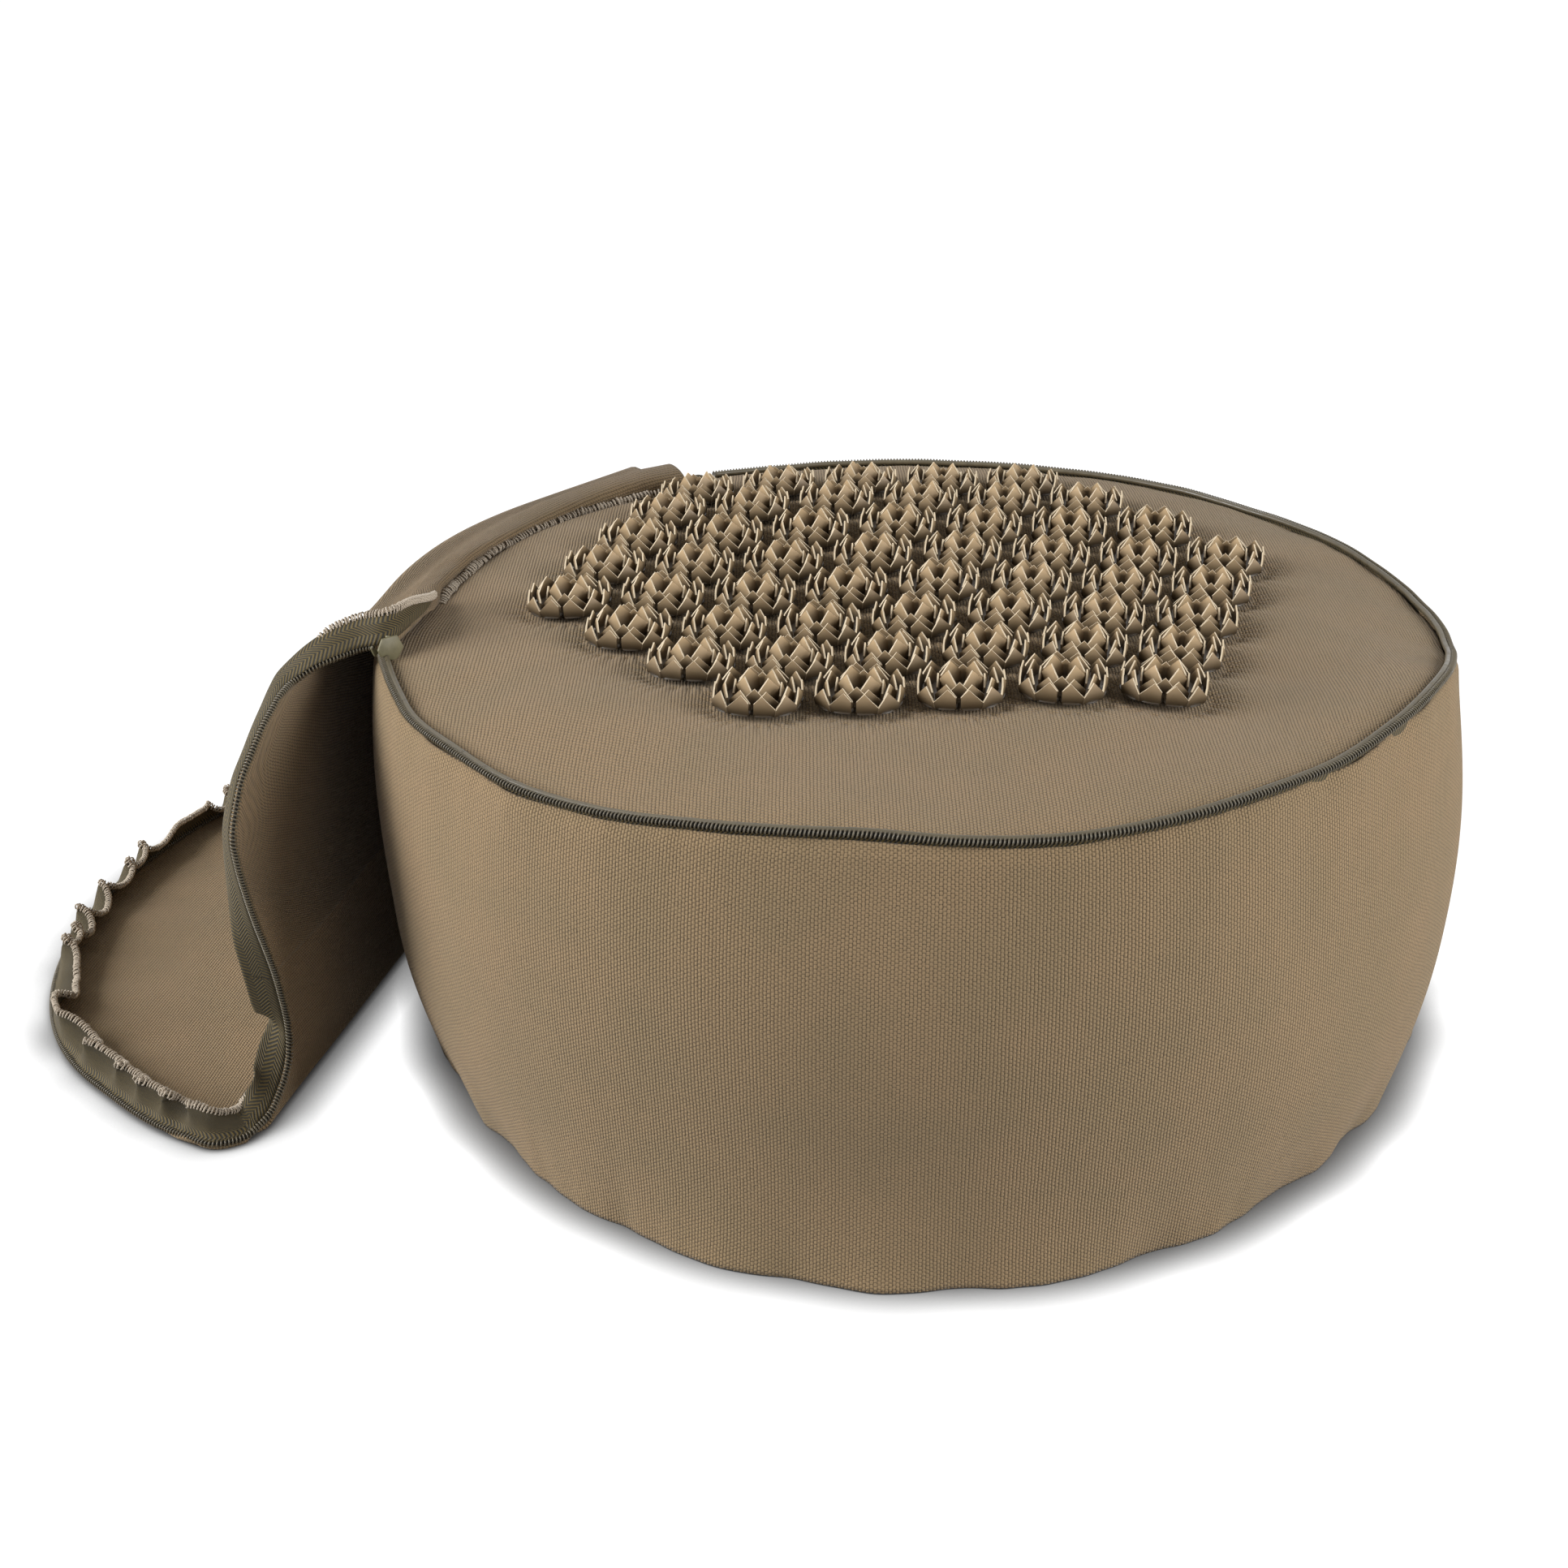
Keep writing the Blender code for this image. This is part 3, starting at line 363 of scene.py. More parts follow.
def panel_height(x, y):
    """The spike panel's top: the frame's crown, slack by up to 4 mm where the photo shows it so."""
    share = np.minimum(np.hypot(x, y) / PANEL_RADIUS, 1.0)
    phase = (x - PANEL_WAVE_START + PANEL_WAVE_SLANT * y) / PANEL_WAVE_LENGTH
    wave = PANEL_WAVE * np.cos(2 * math.pi * phase) * (1 - share**2)
    slack = SLACK_MIDDLE * ease((y - SLACK_FRONT) / SLACK_FRONT_FADE) * ease((SLACK_BACK - y) / SLACK_BACK_FADE)
    for depth, (at_x, at_y), (reach_x, reach_y) in HOLLOWS:
        slack = slack + depth * np.exp(-(((x - at_x) / reach_x) ** 2) - ((y - at_y) / reach_y) ** 2)
    return PANEL_TOP + PANEL_CROWN * (1 - share**PANEL_FULLNESS) + wave - slack * (1 - share**4)


def disc_spots():
    for row, (first, last) in enumerate(ROW_COLUMNS):
        yield [FIRST_DISC + COLUMN_STEP * column + ROW_STEP * row for column in range(first, last + 1)]


def disc_seat(spot):
    """Where a disc stands on the panel: square to the cloth under it."""
    reach = DISC_RADIUS

    def height(dx, dy):
        return float(panel_height(spot.x + dx, spot.y + dy))

    slope_x = (height(reach, 0) - height(-reach, 0)) / (2 * reach)
    slope_y = (height(0, reach) - height(0, -reach)) / (2 * reach)
    normal = Vector((-slope_x, -slope_y, 1.0)).normalized()
    around = [(reach * math.cos(a), reach * math.sin(a)) for a in np.linspace(0, 2 * math.pi, 12)]
    rise = max(height(dx, dy) - slope_x * dx - slope_y * dy for dx, dy in [(0, 0), *around])
    turn = Vector((0, 0, 1)).rotation_difference(normal).to_matrix().to_4x4()
    return Matrix.Translation((spot.x, spot.y, rise + DISC_GAP)) @ turn


# Surfaces of the lid


def wall_plan(u):
    """The hanging lid from above: its point and outward normal at the distance u from the front corner."""
    u = np.asarray(u, float)
    past_arc = u - FRONT_RUN - ARC_RUN
    on_arc = (u >= FRONT_RUN) & (past_arc <= 0.0)
    flat_azimuth = np.where(past_arc > 0.0, BACK_TANGENT, FRONT_TANGENT)
    past = np.where(past_arc > 0.0, past_arc, u - FRONT_RUN)
    azimuth = np.where(on_arc, FRONT_TANGENT - np.degrees((u - FRONT_RUN) / WRAP_RADIUS), flat_azimuth)
    past = np.where(on_arc, 0.0, past)
    point = polar(azimuth, WRAP_RADIUS) + polar(azimuth - 90.0, 1.0) * past[..., None]
    return point, polar(azimuth, 1.0)


def on_wall(u, z, out=0.0):
    point, normal = wall_plan(u)
    point = point + normal * np.asarray(out)[..., None]
    point[..., 2] = z
    return point


def front_setback(z):
    keys = np.array(FRONT_EDGE) * MM
    return through(keys[:, 0], keys[:, 1], z)


def back_setback(z):
    keys = np.array(BACK_EDGE) * MM
    return through(keys[:, 0], keys[:, 1], z)


def toe_place(u, t):
    """The lid on the floor: from the crease at t = 0 to its outer edge at t = 1."""
    radius = LID_DIAMETER / 2
    u = np.asarray(u, float)
    share = np.clip(np.abs(1.0 - u / radius), 0.0, 1.0)
    reach = TOE_REACH * (1.0 - share**TOE_FULLNESS) ** (1.0 / TOE_FULLNESS)
    point, normal = wall_plan(u)
    ahead = np.stack([-normal[..., 1], normal[..., 0], np.zeros_like(u)], axis=-1)
    front = np.maximum(0.0, 1.0 - u / TOE_BULGE_LENGTH) ** 2
    bulge = TOE_FRONT_BULGE * np.sin(math.pi * TOE_BULGE_TURN * np.minimum(t, 1.0)) * front
    start = LID_THICKNESS / 2 + CREASE_GAP
    return point + normal * (start + reach * t)[..., None] + ahead * bulge[..., None]


# Meshes


def new_object(name, mesh, material, body=None, nodes=()):
    """A piece of the object with its material, its body and the frame's nodes that it stands for."""
    made = bpy.data.objects.new(name, mesh)
    bpy.context.scene.collection.objects.link(made)
    for each in material if isinstance(material, (list, tuple)) else [material]:
        mesh.materials.append(each)
    mesh.shade_smooth()
    if body:
        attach(made, body)
    if nodes:
        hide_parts(*nodes)
    return made


def quad_mesh(name, points, closed=False, cloth=None):
    """Quads over an array of points, rows by columns; closed joins the last column to the first.

    cloth holds each point's place on the flat cloth in mm, with one more column where the mesh is closed."""
    rows, columns = points.shape[:2]
    across = columns if closed else columns - 1
    r, c = np.meshgrid(np.arange(rows - 1), np.arange(across), indexing="ij")
    r, c = r.ravel(), c.ravel()
    right = (c + 1) % columns
    low, high = r * columns, (r + 1) * columns
    faces = np.stack([low + c, low + right, high + right, high + c], axis=1)
    mesh = bpy.data.meshes.new(name)
    mesh.from_pydata(points.reshape(-1, 3).tolist(), [], faces.tolist())
    if cloth is not None:
        layer = mesh.uv_layers.new(name="cloth")
        corners = np.stack([cloth[r, c], cloth[r, c + 1], cloth[r + 1, c + 1], cloth[r + 1, c]], axis=1)
        layer.uv.foreach_set("vector", corners.astype(np.float32).ravel())
    return mesh


def cloth_lengths(points, start=0.0):
    """Each point's place on the flat cloth in mm: along its row from the middle column, and down its column."""
    along = np.linalg.norm(np.diff(points, axis=1), axis=2)
    down = np.linalg.norm(np.diff(points, axis=0), axis=2)
    u = np.concatenate([np.zeros((len(points), 1)), np.cumsum(along, axis=1)], axis=1)
    v = np.concatenate([np.zeros((1, points.shape[1])), np.cumsum(down, axis=0)], axis=0)
    u = u - u[:, u.shape[1] // 2, None]
    return np.stack([u, v + start], axis=-1) / MM


def thicken(made, thickness, offset=0.0):
    """Gives a sheet its two faces and its cut edge."""
    solid = made.modifiers.new("thickness", "SOLIDIFY")
    solid.thickness = thickness
    solid.offset = offset
    apply_modifiers(made)


def apply_modifiers(made):
    graph = bpy.context.evaluated_depsgraph_get()
    final = made.evaluated_get(graph)
    mesh = bpy.data.meshes.new_from_object(final, preserve_all_data_layers=True, depsgraph=graph)
    made.modifiers.clear()
    made.data = mesh


def strands(name, paths, radius, sides=5):
    """Round strands in one mesh. Each path is its points, and a normal at each that isn't along it."""
    verts, faces, cloth, start = [], [], [], 0
    angles = 2 * math.pi * np.arange(sides) / sides
    for points, normals in paths:
        along = unit(np.gradient(points, axis=0))
        normal = unit(normals - along * np.sum(normals * along, axis=1)[:, None])
        side = np.cross(along, normal)
        ring = normal[:, None] * np.cos(angles)[:, None] + side[:, None] * np.sin(angles)[:, None]
        verts.append((points[:, None] + radius * ring).reshape(-1, 3))
        count = len(points)
        r, c = np.meshgrid(np.arange(count - 1), np.arange(sides), indexing="ij")
        r, c = r.ravel(), c.ravel()
        right = (c + 1) % sides
        quads = np.stack([r * sides + c, (r + 1) * sides + c, (r + 1) * sides + right, r * sides + right], 1)
        faces += (quads + start).tolist()
        run = lengths_along(points) / MM
        turn, turned = c / sides, (c + 1) / sides
        corners = [(run[r], turn), (run[r + 1], turn), (run[r + 1], turned), (run[r], turned)]
        cloth.append(np.stack([np.stack(pair, axis=-1) for pair in corners], axis=1).reshape(-1, 2))
        for end in (range(sides), range((count - 1) * sides, count * sides)):
            order = list(end) if end.start else list(end)[::-1]
            faces.append([start + i for i in order])
            cloth.append(np.zeros((sides, 2)))
        start += count * sides
    mesh = bpy.data.meshes.new(name)
    mesh.from_pydata(np.concatenate(verts).tolist(), [], faces)
    layer = mesh.uv_layers.new(name="cloth")
    layer.uv.foreach_set("vector", np.concatenate(cloth).astype(np.float32).ravel())
    return mesh


def wound(path, out, pitch, width, depth, steps=10, squareness=0.7, jitter=0.0, seed=1):
    """A strand wound round a path in flattened turns: depth along out, width across it."""
    points, out = resample(path, pitch / steps, out)
    along = unit(np.gradient(points, axis=0))
    out = unit(out - along * np.sum(out * along, axis=1)[:, None])
    side = np.cross(along, out)
    turn = 2 * math.pi * np.arange(len(points)) / steps
    loose = 1.0 + jitter * wander(turn / 9.0, seed)
    cosine, sine = np.cos(turn), np.sin(turn)
    cosine = np.sign(cosine) * np.abs(cosine) ** squareness
    sine = np.sign(sine) * np.abs(sine) ** squareness
    offset = side * (width / 2 * cosine * loose)[:, None] + out * (depth / 2 * sine * loose)[:, None]
    offset += along * (jitter * pitch * wander(turn / 5.0, seed + 1))[:, None]
    return points + offset, unit(offset)


# Materials


def add_node(tree, kind, links=(), out=0, **settings):
    """Adds a node with its settings and gives its output.

    links holds a value or another node's output for each input, in order or by the input's name."""
    made = tree.nodes.new("ShaderNode" + kind)
    for name, value in settings.items():
        setattr(made, name, value)
    for place, value in links.items() if isinstance(links, dict) else enumerate(links):
        if isinstance(value, bpy.types.NodeSocket):
            tree.links.new(value, made.inputs[place])
        else:
            made.inputs[place].default_value = value
    return made.outputs[out]


def new_material(name, roughness, **sockets):
    """A material with the plain values of its shader. Gives the material, its node tree and the shader."""
    made = bpy.data.materials.new(name)
    made.use_nodes = True
    shader = made.node_tree.nodes["Principled BSDF"]
    for socket, value in {"Roughness": roughness, **sockets}.items():
        shader.inputs[socket.replace("_", " ")].default_value = value
    return made, made.node_tree, shader


def dress(tree, shader, colour, relief=None, roughness=None, invert=False):
    """Links the surface's colour to its shader, and its relief and its roughness where they vary.

    relief holds the height, how strongly it shows and its depth in metres."""
    tree.links.new(colour, shader.inputs["Base Color"])
    if relief is not None:
        links = dict(zip(("Height", "Strength", "Distance"), relief))
        tree.links.new(add_node(tree, "Bump", links, invert=invert), shader.inputs["Normal"])
    if roughness is not None:
        tree.links.new(roughness, shader.inputs["Roughness"])


def cloth_place(tree):
    """The place on the flat cloth in mm: the whole place, then along the cloth and across it."""
    place = add_node(tree, "UVMap", uv_map="cloth")
    along = add_node(tree, "SeparateXYZ", (place,))
    return place, along, along.node.outputs[1]


def ridges(tree, count):
    """Round ridges from 0 to 1, one for each whole step of count."""
    turn = add_node(tree, "Math", (count, math.pi), operation="MULTIPLY")
    sine = add_node(tree, "Math", (turn,), operation="SINE")
    return add_node(tree, "Math", (sine,), operation="ABSOLUTE")


def plies(tree, along, around):
    """Twisted plies from 0 to 1, from their turns for each mm of a strand and for each time round it."""
    u, v = cloth_place(tree)[1:]
    along = add_node(tree, "Math", (u, along), operation="MULTIPLY")
    around = add_node(tree, "Math", (v, around), operation="MULTIPLY")
    turns = add_node(tree, "Math", (around, along), operation="ADD")
    angle = add_node(tree, "Math", (turns, 2 * math.pi), operation="MULTIPLY")
    sine = add_node(tree, "Math", (angle,), operation="SINE")
    return add_node(tree, "MapRange", (sine, -1.0, 1.0))


def tinted(colour, red, green, blue):
    """The colour with its red, green and blue multiplied, none of them past 1."""
    return (*[min(part * share, 1.0) for part, share in zip(colour, (red, green, blue))], 1.0)


def canvas(name, cover, shaded=None):
    """Woven cotton canvas: rows of short raised yarns, furrows between them, and soft mottling from washing.

    The real yarns lie 0.9 mm apart, too fine to show, so they are drawn at the pitch that the settings give.
    shaded holds two places down the cloth in mm and the share of light painted in before and after them: on the
    lid, painted shade on its hanging part and painted light on its part that lies on the floor."""
    made, tree, shader = new_material(name, 0.93, Sheen_Weight=0.12, Sheen_Roughness=0.5)
    pitch = cover.yarn_pitch / MM
    yarn_length = 1.25 * pitch
    place, u, v = cloth_place(tree)
    drift = add_node(tree, "TexNoise", {"Vector": place, "Scale": 0.12, "Detail": 3.0}, "Fac")
    drift = add_node(tree, "Math", (drift, 0.5 * pitch), operation="MULTIPLY")
    rows = add_node(tree, "Math", (v, drift), operation="ADD")
    rows = add_node(tree, "Math", (rows, pitch), operation="DIVIDE")
    crown = add_node(tree, "Math", (ridges(tree, rows), 0.7), operation="POWER")
    step = add_node(tree, "Math", (rows,), operation="FLOOR")
    step = add_node(tree, "Math", (step, 0.5), operation="MULTIPLY")
    yarns = add_node(tree, "Math", (u, yarn_length), operation="DIVIDE")
    yarns = add_node(tree, "Math", (yarns, step), operation="ADD")
    bead = add_node(tree, "Math", (ridges(tree, yarns), 0.5), operation="POWER")
    height = add_node(tree, "Math", (crown, bead), operation="MULTIPLY")
    fibre = add_node(tree, "TexNoise", {"Vector": place, "Scale": 1.9 / pitch, "Detail": 2.0}, "Fac")
    fibre = add_node(tree, "Math", (fibre, 0.9), operation="MULTIPLY")
    height = add_node(tree, "Math", (height, fibre), operation="ADD")
    links = {"Vector": place, "Scale": 0.022, "Detail": 4.0, "Roughness": 0.6}
    mottle = add_node(tree, "TexNoise", links, "Fac")
    mottle = add_node(tree, "MapRange", (mottle, 0.36, 0.64), interpolation_type="SMOOTHSTEP")
    greenish, pinkish = tinted(cover.yarn, 0.95, 0.96, 0.95), tinted(cover.yarn, 1.04, 1.02, 1.01)
    yarn = add_node(tree, "Mix", {0: mottle, 6: greenish, 7: pinkish}, 2, data_type="RGBA")
    depth = add_node(tree, "MapRange", (height, 0.45, 1.10))
    colour = add_node(tree, "Mix", {0: depth, 6: tuple(cover.furrow), 7: yarn}, 2, data_type="RGBA")
    # Painted shade and light: the lid's hanging part is darkened and its part on the floor lightened.
    if shaded:
        painted_light = add_node(tree, "MapRange", (v, *shaded), interpolation_type="SMOOTHSTEP")
        links = {0: 1.0, 6: colour, 7: painted_light}
        colour = add_node(tree, "Mix", links, 2, data_type="RGBA", blend_type="MULTIPLY")
    dress(tree, shader, colour, (height, 0.7, 0.35 * pitch * MM))
    return made


def calico():
    """Unbleached plain-weave cotton of the liner and the bound seams: pale, flat and slightly slubby."""
    made, tree, shader = new_material("calico_plain_woven", 0.95, Sheen_Weight=0.1)
    thread_spacing = 0.8
    place, *across = cloth_place(tree)
    threads = []
    for measure in across:
        angle = add_node(tree, "Math", (measure, math.pi / thread_spacing), operation="MULTIPLY")
        threads.append(add_node(tree, "Math", (angle,), operation="SINE"))
    weave = add_node(tree, "Math", threads, operation="MULTIPLY")
    slub = add_node(tree, "TexNoise", {"Vector": place, "Scale": 0.3, "Detail": 3.0}, "Fac")
    links = {0: slub, 6: linear("#C9BEA6"), 7: linear("#D9D0BC")}
    dress(tree, shader, add_node(tree, "Mix", links, 2, data_type="RGBA"), (weave, 0.4, 0.0001))
    return made


def hulls():
    """Buckwheat hulls: dark brown shells, 5 mm across, glossy on their ridges."""
    made, tree, shader = new_material("buckwheat_hulls_loose", 0.45)
    shell = 0.005
    place = add_node(tree, "TexCoord", out="Object")
    shells = add_node(tree, "TexVoronoi", {"Vector": place, "Scale": 1 / shell}, "Distance")
    links = {0: shells, 6: linear("#5A4230"), 7: linear("#23180F")}
    colour = add_node(tree, "Mix", links, 2, data_type="RGBA")
    dress(tree, shader, colour, (shells, 0.9, 0.0012), invert=True)
    return made


def zip_tape(zipper):
    """Polyester zip tape woven in herringbone: slanted ribs that turn every 4 mm, with painted highlight on
    crests.

    The ribs are drawn 1.7 mm apart, over three times the real ones, so that they show."""
    made, tree, shader = new_material("polyester_tape_herringbone", 0.75, Sheen_Weight=0.02)
    rib_spacing, turning = 1.7, 4.0
    place, u, v = cloth_place(tree)
    zigzag = add_node(tree, "Math", (v, turning), operation="PINGPONG")
    slant = add_node(tree, "Math", (u, zigzag), operation="ADD")
    angle = add_node(tree, "Math", (slant, 2 * math.pi / rib_spacing), operation="MULTIPLY")
    rib = add_node(tree, "Math", (angle,), operation="SINE")
    grain = add_node(tree, "TexNoise", {"Vector": place, "Scale": 0.8, "Detail": 2.0}, "Fac")
    height = add_node(tree, "Math", (rib, grain), operation="ADD")
    crest = add_node(tree, "MapRange", (height, -0.2, 1.6))
    # Painted light: over the real herringbone, the crests are painted far paler and the furrows far darker than
    # the tape's own colour.
    links = {0: crest, 6: tinted(zipper.tape, 0.16, 0.17, 0.20), 7: tinted(zipper.tape, 2.5, 2.2, 1.7)}
    dress(tree, shader, add_node(tree, "Mix", links, 2, data_type="RGBA"), (height, 0.6, 0.00025))
    return made


def coil_nylon(zipper):
    """Nylon monofilament, drawn and dyed: smooth, with a grey shine along each turn, dulled by dust."""
    made, tree, shader = new_material("nylon_monofilament_drawn", 0.32, IOR=1.53)
    fleck = 0.004
    place = add_node(tree, "TexCoord", out="Object")
    dust = add_node(tree, "TexNoise", {"Vector": place, "Scale": 1 / fleck, "Detail": 3.0}, "Fac")
    links = {0: dust, 6: tuple(zipper.coil), 7: tinted(zipper.coil, 1.8, 1.75, 1.6)}
    colour = add_node(tree, "Mix", links, 2, data_type="RGBA")
    dress(tree, shader, colour, roughness=add_node(tree, "MapRange", (dust, 0.3, 0.7, 0.24, 0.5)))
    return made


def dark_cord(zipper):
    """Twisted polyester cord inside the coil: matt, almost black as painted shade, so that the turns stand out.
    """
    made, tree, shader = new_material("polyester_cord_painted_shade", 0.95)
    deep, pale = (tinted(zipper.coil, share, share, share) for share in (0.10, 0.28))
    links = {0: plies(tree, 0.8, 1.0), 6: deep, 7: pale}
    dress(tree, shader, add_node(tree, "Mix", links, 2, data_type="RGBA"))
    return made


def spun_thread(zipper):
    """Spun polyester overlock thread: matt, twisted, with pale crowns and dark furrows between its plies."""
    made, tree, shader = new_material("spun_polyester_thread", 0.9, Sheen_Weight=0.25)
    links = {0: plies(tree, 1.0, 2.0), 6: tinted(zipper.thread, 0.62, 0.60, 0.55), 7: tuple(zipper.thread)}
    dress(tree, shader, add_node(tree, "Mix", links, 2, data_type="RGBA"))
    return made


def abs_plastic(name, colour, roughness, painted_root_shade=True):
    """Injection-moulded ABS: even satin skin, faint flow marks, and painted shade darkening the petals' roots.
    """
    made, tree, shader = new_material(name, roughness, IOR=1.53)
    flow_mark, pore = 0.006, 0.0006
    place = add_node(tree, "TexCoord", out="Object")
    flow = add_node(tree, "TexNoise", {"Vector": place, "Scale": 1 / flow_mark, "Detail": 3.0}, "Fac")
    links = {0: flow, 6: tinted(colour, 0.86, 0.86, 0.86), 7: tinted(colour, 1.12, 1.12, 1.12)}
    plastic = add_node(tree, "Mix", links, 2, data_type="RGBA")
    if painted_root_shade:
        # Painted shade: towards the roots of the petals the plastic darkens to almost black, where the rings
        # shade each other.
        root, tip = 0.2, 9.6
        out_of_painted_shade = add_node(tree, "MapRange", (cloth_place(tree)[2], root, tip))
        out_of_painted_shade = add_node(tree, "Math", (out_of_painted_shade, 1.3), operation="POWER")
        links = {0: out_of_painted_shade, 6: tinted(colour, 0.050, 0.045, 0.035), 7: plastic}
        plastic = add_node(tree, "Mix", links, 2, data_type="RGBA")
    skin = add_node(tree, "TexNoise", {"Vector": place, "Scale": 1 / pore, "Detail": 2.0}, "Fac")
    rough = add_node(tree, "MapRange", (flow, 0.3, 0.7, roughness - 0.07, roughness + 0.08))
    dress(tree, shader, plastic, (skin, 0.12, 0.0001), rough)
    return made


def painted_zinc(zipper):
    """Die-cast zinc with olive enamel: a smooth satin skin, rubbed pale at its corners."""
    made, tree, shader = new_material("zinc_die_cast_enamelled", 0.55, Coat_Weight=0.05, Coat_Roughness=0.3)
    patch = 0.003
    place = add_node(tree, "TexCoord", out="Object")
    worn = add_node(tree, "TexNoise", {"Vector": place, "Scale": 1 / patch, "Detail": 4.0}, "Fac")
    corner = add_node(tree, "NewGeometry", out="Pointiness")
    corner = add_node(tree, "MapRange", (corner, 0.53, 0.62))
    rub = add_node(tree, "Math", (worn, 0.3), operation="ADD")
    rub = add_node(tree, "Math", (corner, rub), operation="MULTIPLY")
    links = {0: worn, 6: tinted(zipper.metal, 0.8, 0.8, 0.8), 7: tuple(zipper.metal)}
    paint = add_node(tree, "Mix", links, 2, data_type="RGBA")
    links = {0: rub, 6: paint, 7: linear("#B9AE8C")}
    dress(tree, shader, add_node(tree, "Mix", links, 2, data_type="RGBA"), (worn, 0.15, 0.0002))
    return made


def material_named(name, make, *settings):
    """The material of that name, made when it is first asked for."""
    return bpy.data.materials.get(name) or make(*settings)


def canvas_cover():
    name = "cotton_canvas_washed"
    return material_named(name, canvas, name, bpy.context.scene.cushion_cover)


def canvas_lid():
    # The lid's canvas, with painted shade on its hanging part and painted light on its part on the floor.
    name, shaded = "cotton_canvas_less_faded", (185.0, 235.0, 0.76, 1.12)
    return material_named(name, canvas, name, bpy.context.scene.cushion_cover, shaded)


def overlock_thread():
    return material_named("spun_polyester_thread", spun_thread, bpy.context.scene.cushion_zip)


def tape_material():
    return material_named("polyester_tape_herringbone", zip_tape, bpy.context.scene.cushion_zip)


def cord_material():
    return material_named("polyester_cord_painted_shade", dark_cord, bpy.context.scene.cushion_zip)


def coil_material():
    return material_named("nylon_monofilament_drawn", coil_nylon, bpy.context.scene.cushion_zip)


# Pieces


class CUSHION_OT_side(bpy.types.Operator):
    """Builds the side band of the cover with its bottom scallops and its turned top edge"""

    bl_idname = "cushion.side"
    bl_label = "Side band"

    def execute(self, context):
        cover = context.scene.cushion_cover
        columns, rows = 720, 96
        edge_over_band = 0.0024
        scallop_length, scallop_fade = 0.062, 0.016
        gather, gather_length = 0.0006, 0.016
        pucker, pucker_length, pucker_fade = 0.0007, 0.024, 0.012
        billow_depth, billow_length = 0.0013, 0.17
        turn_in, turn_start, turn_share = 0.0013, 0.972, 0.028
        azimuth = np.arange(columns) * 360.0 / columns
        share = np.linspace(0.0, 1.0, rows)[:, None]
        azimuth_grid = np.broadcast_to(azimuth, (rows, columns))
        rim = rim_line(azimuth_grid)
        z = FABRIC_GAP + (BAND_TOP + edge_over_band - FABRIC_GAP) * share
        radius = side_radius(azimuth_grid, z)
        lift = rim * ease((share - 0.35) / 0.65)[..., None]
        arc = azimuth_grid * 2 * math.pi * RIM_RADIUS / 360.0
        low = np.exp(-z / scallop_fade)
        scallops = 0.5 + 0.5 * np.cos(arc / scallop_length * 2 * math.pi + 2.0 * wander(arc / 0.11, 5))
        gathers = wander(arc / gather_length, 8)
        radius = radius + cover.scallop * low * (scallops - 0.5) * 2 + gather * low * gathers
        high = np.exp(-(BAND_TOP - z) / pucker_fade)
        radius = radius + pucker * high * wander(arc / pucker_length, 11)
        billow = wander(arc / billow_length + z * 4, 21) * np.sin(math.pi * share)
        radius = radius + billow_depth * billow
        turned = ease((share - turn_start) / turn_share)
        radius = radius + lift[..., 0] - turn_in * turned
        z = z + lift[..., 1]
        points = polar(azimuth_grid, radius - FABRIC / 2, z)
        wrapped = np.concatenate([points, points[:, :1]], axis=1)
        cloth = cloth_lengths(wrapped)
        cloth[..., 0] = np.linspace(0, 2 * math.pi * RIM_RADIUS / MM, columns + 1)
        cloth = cloth[..., ::-1]
        made = new_object("side_band", quad_mesh("side_band", points, True, cloth), canvas_cover(),
                          nodes=["outer_side_band"])
        thicken(made, FABRIC)
        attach(made, "cushion")
        return {"FINISHED"}


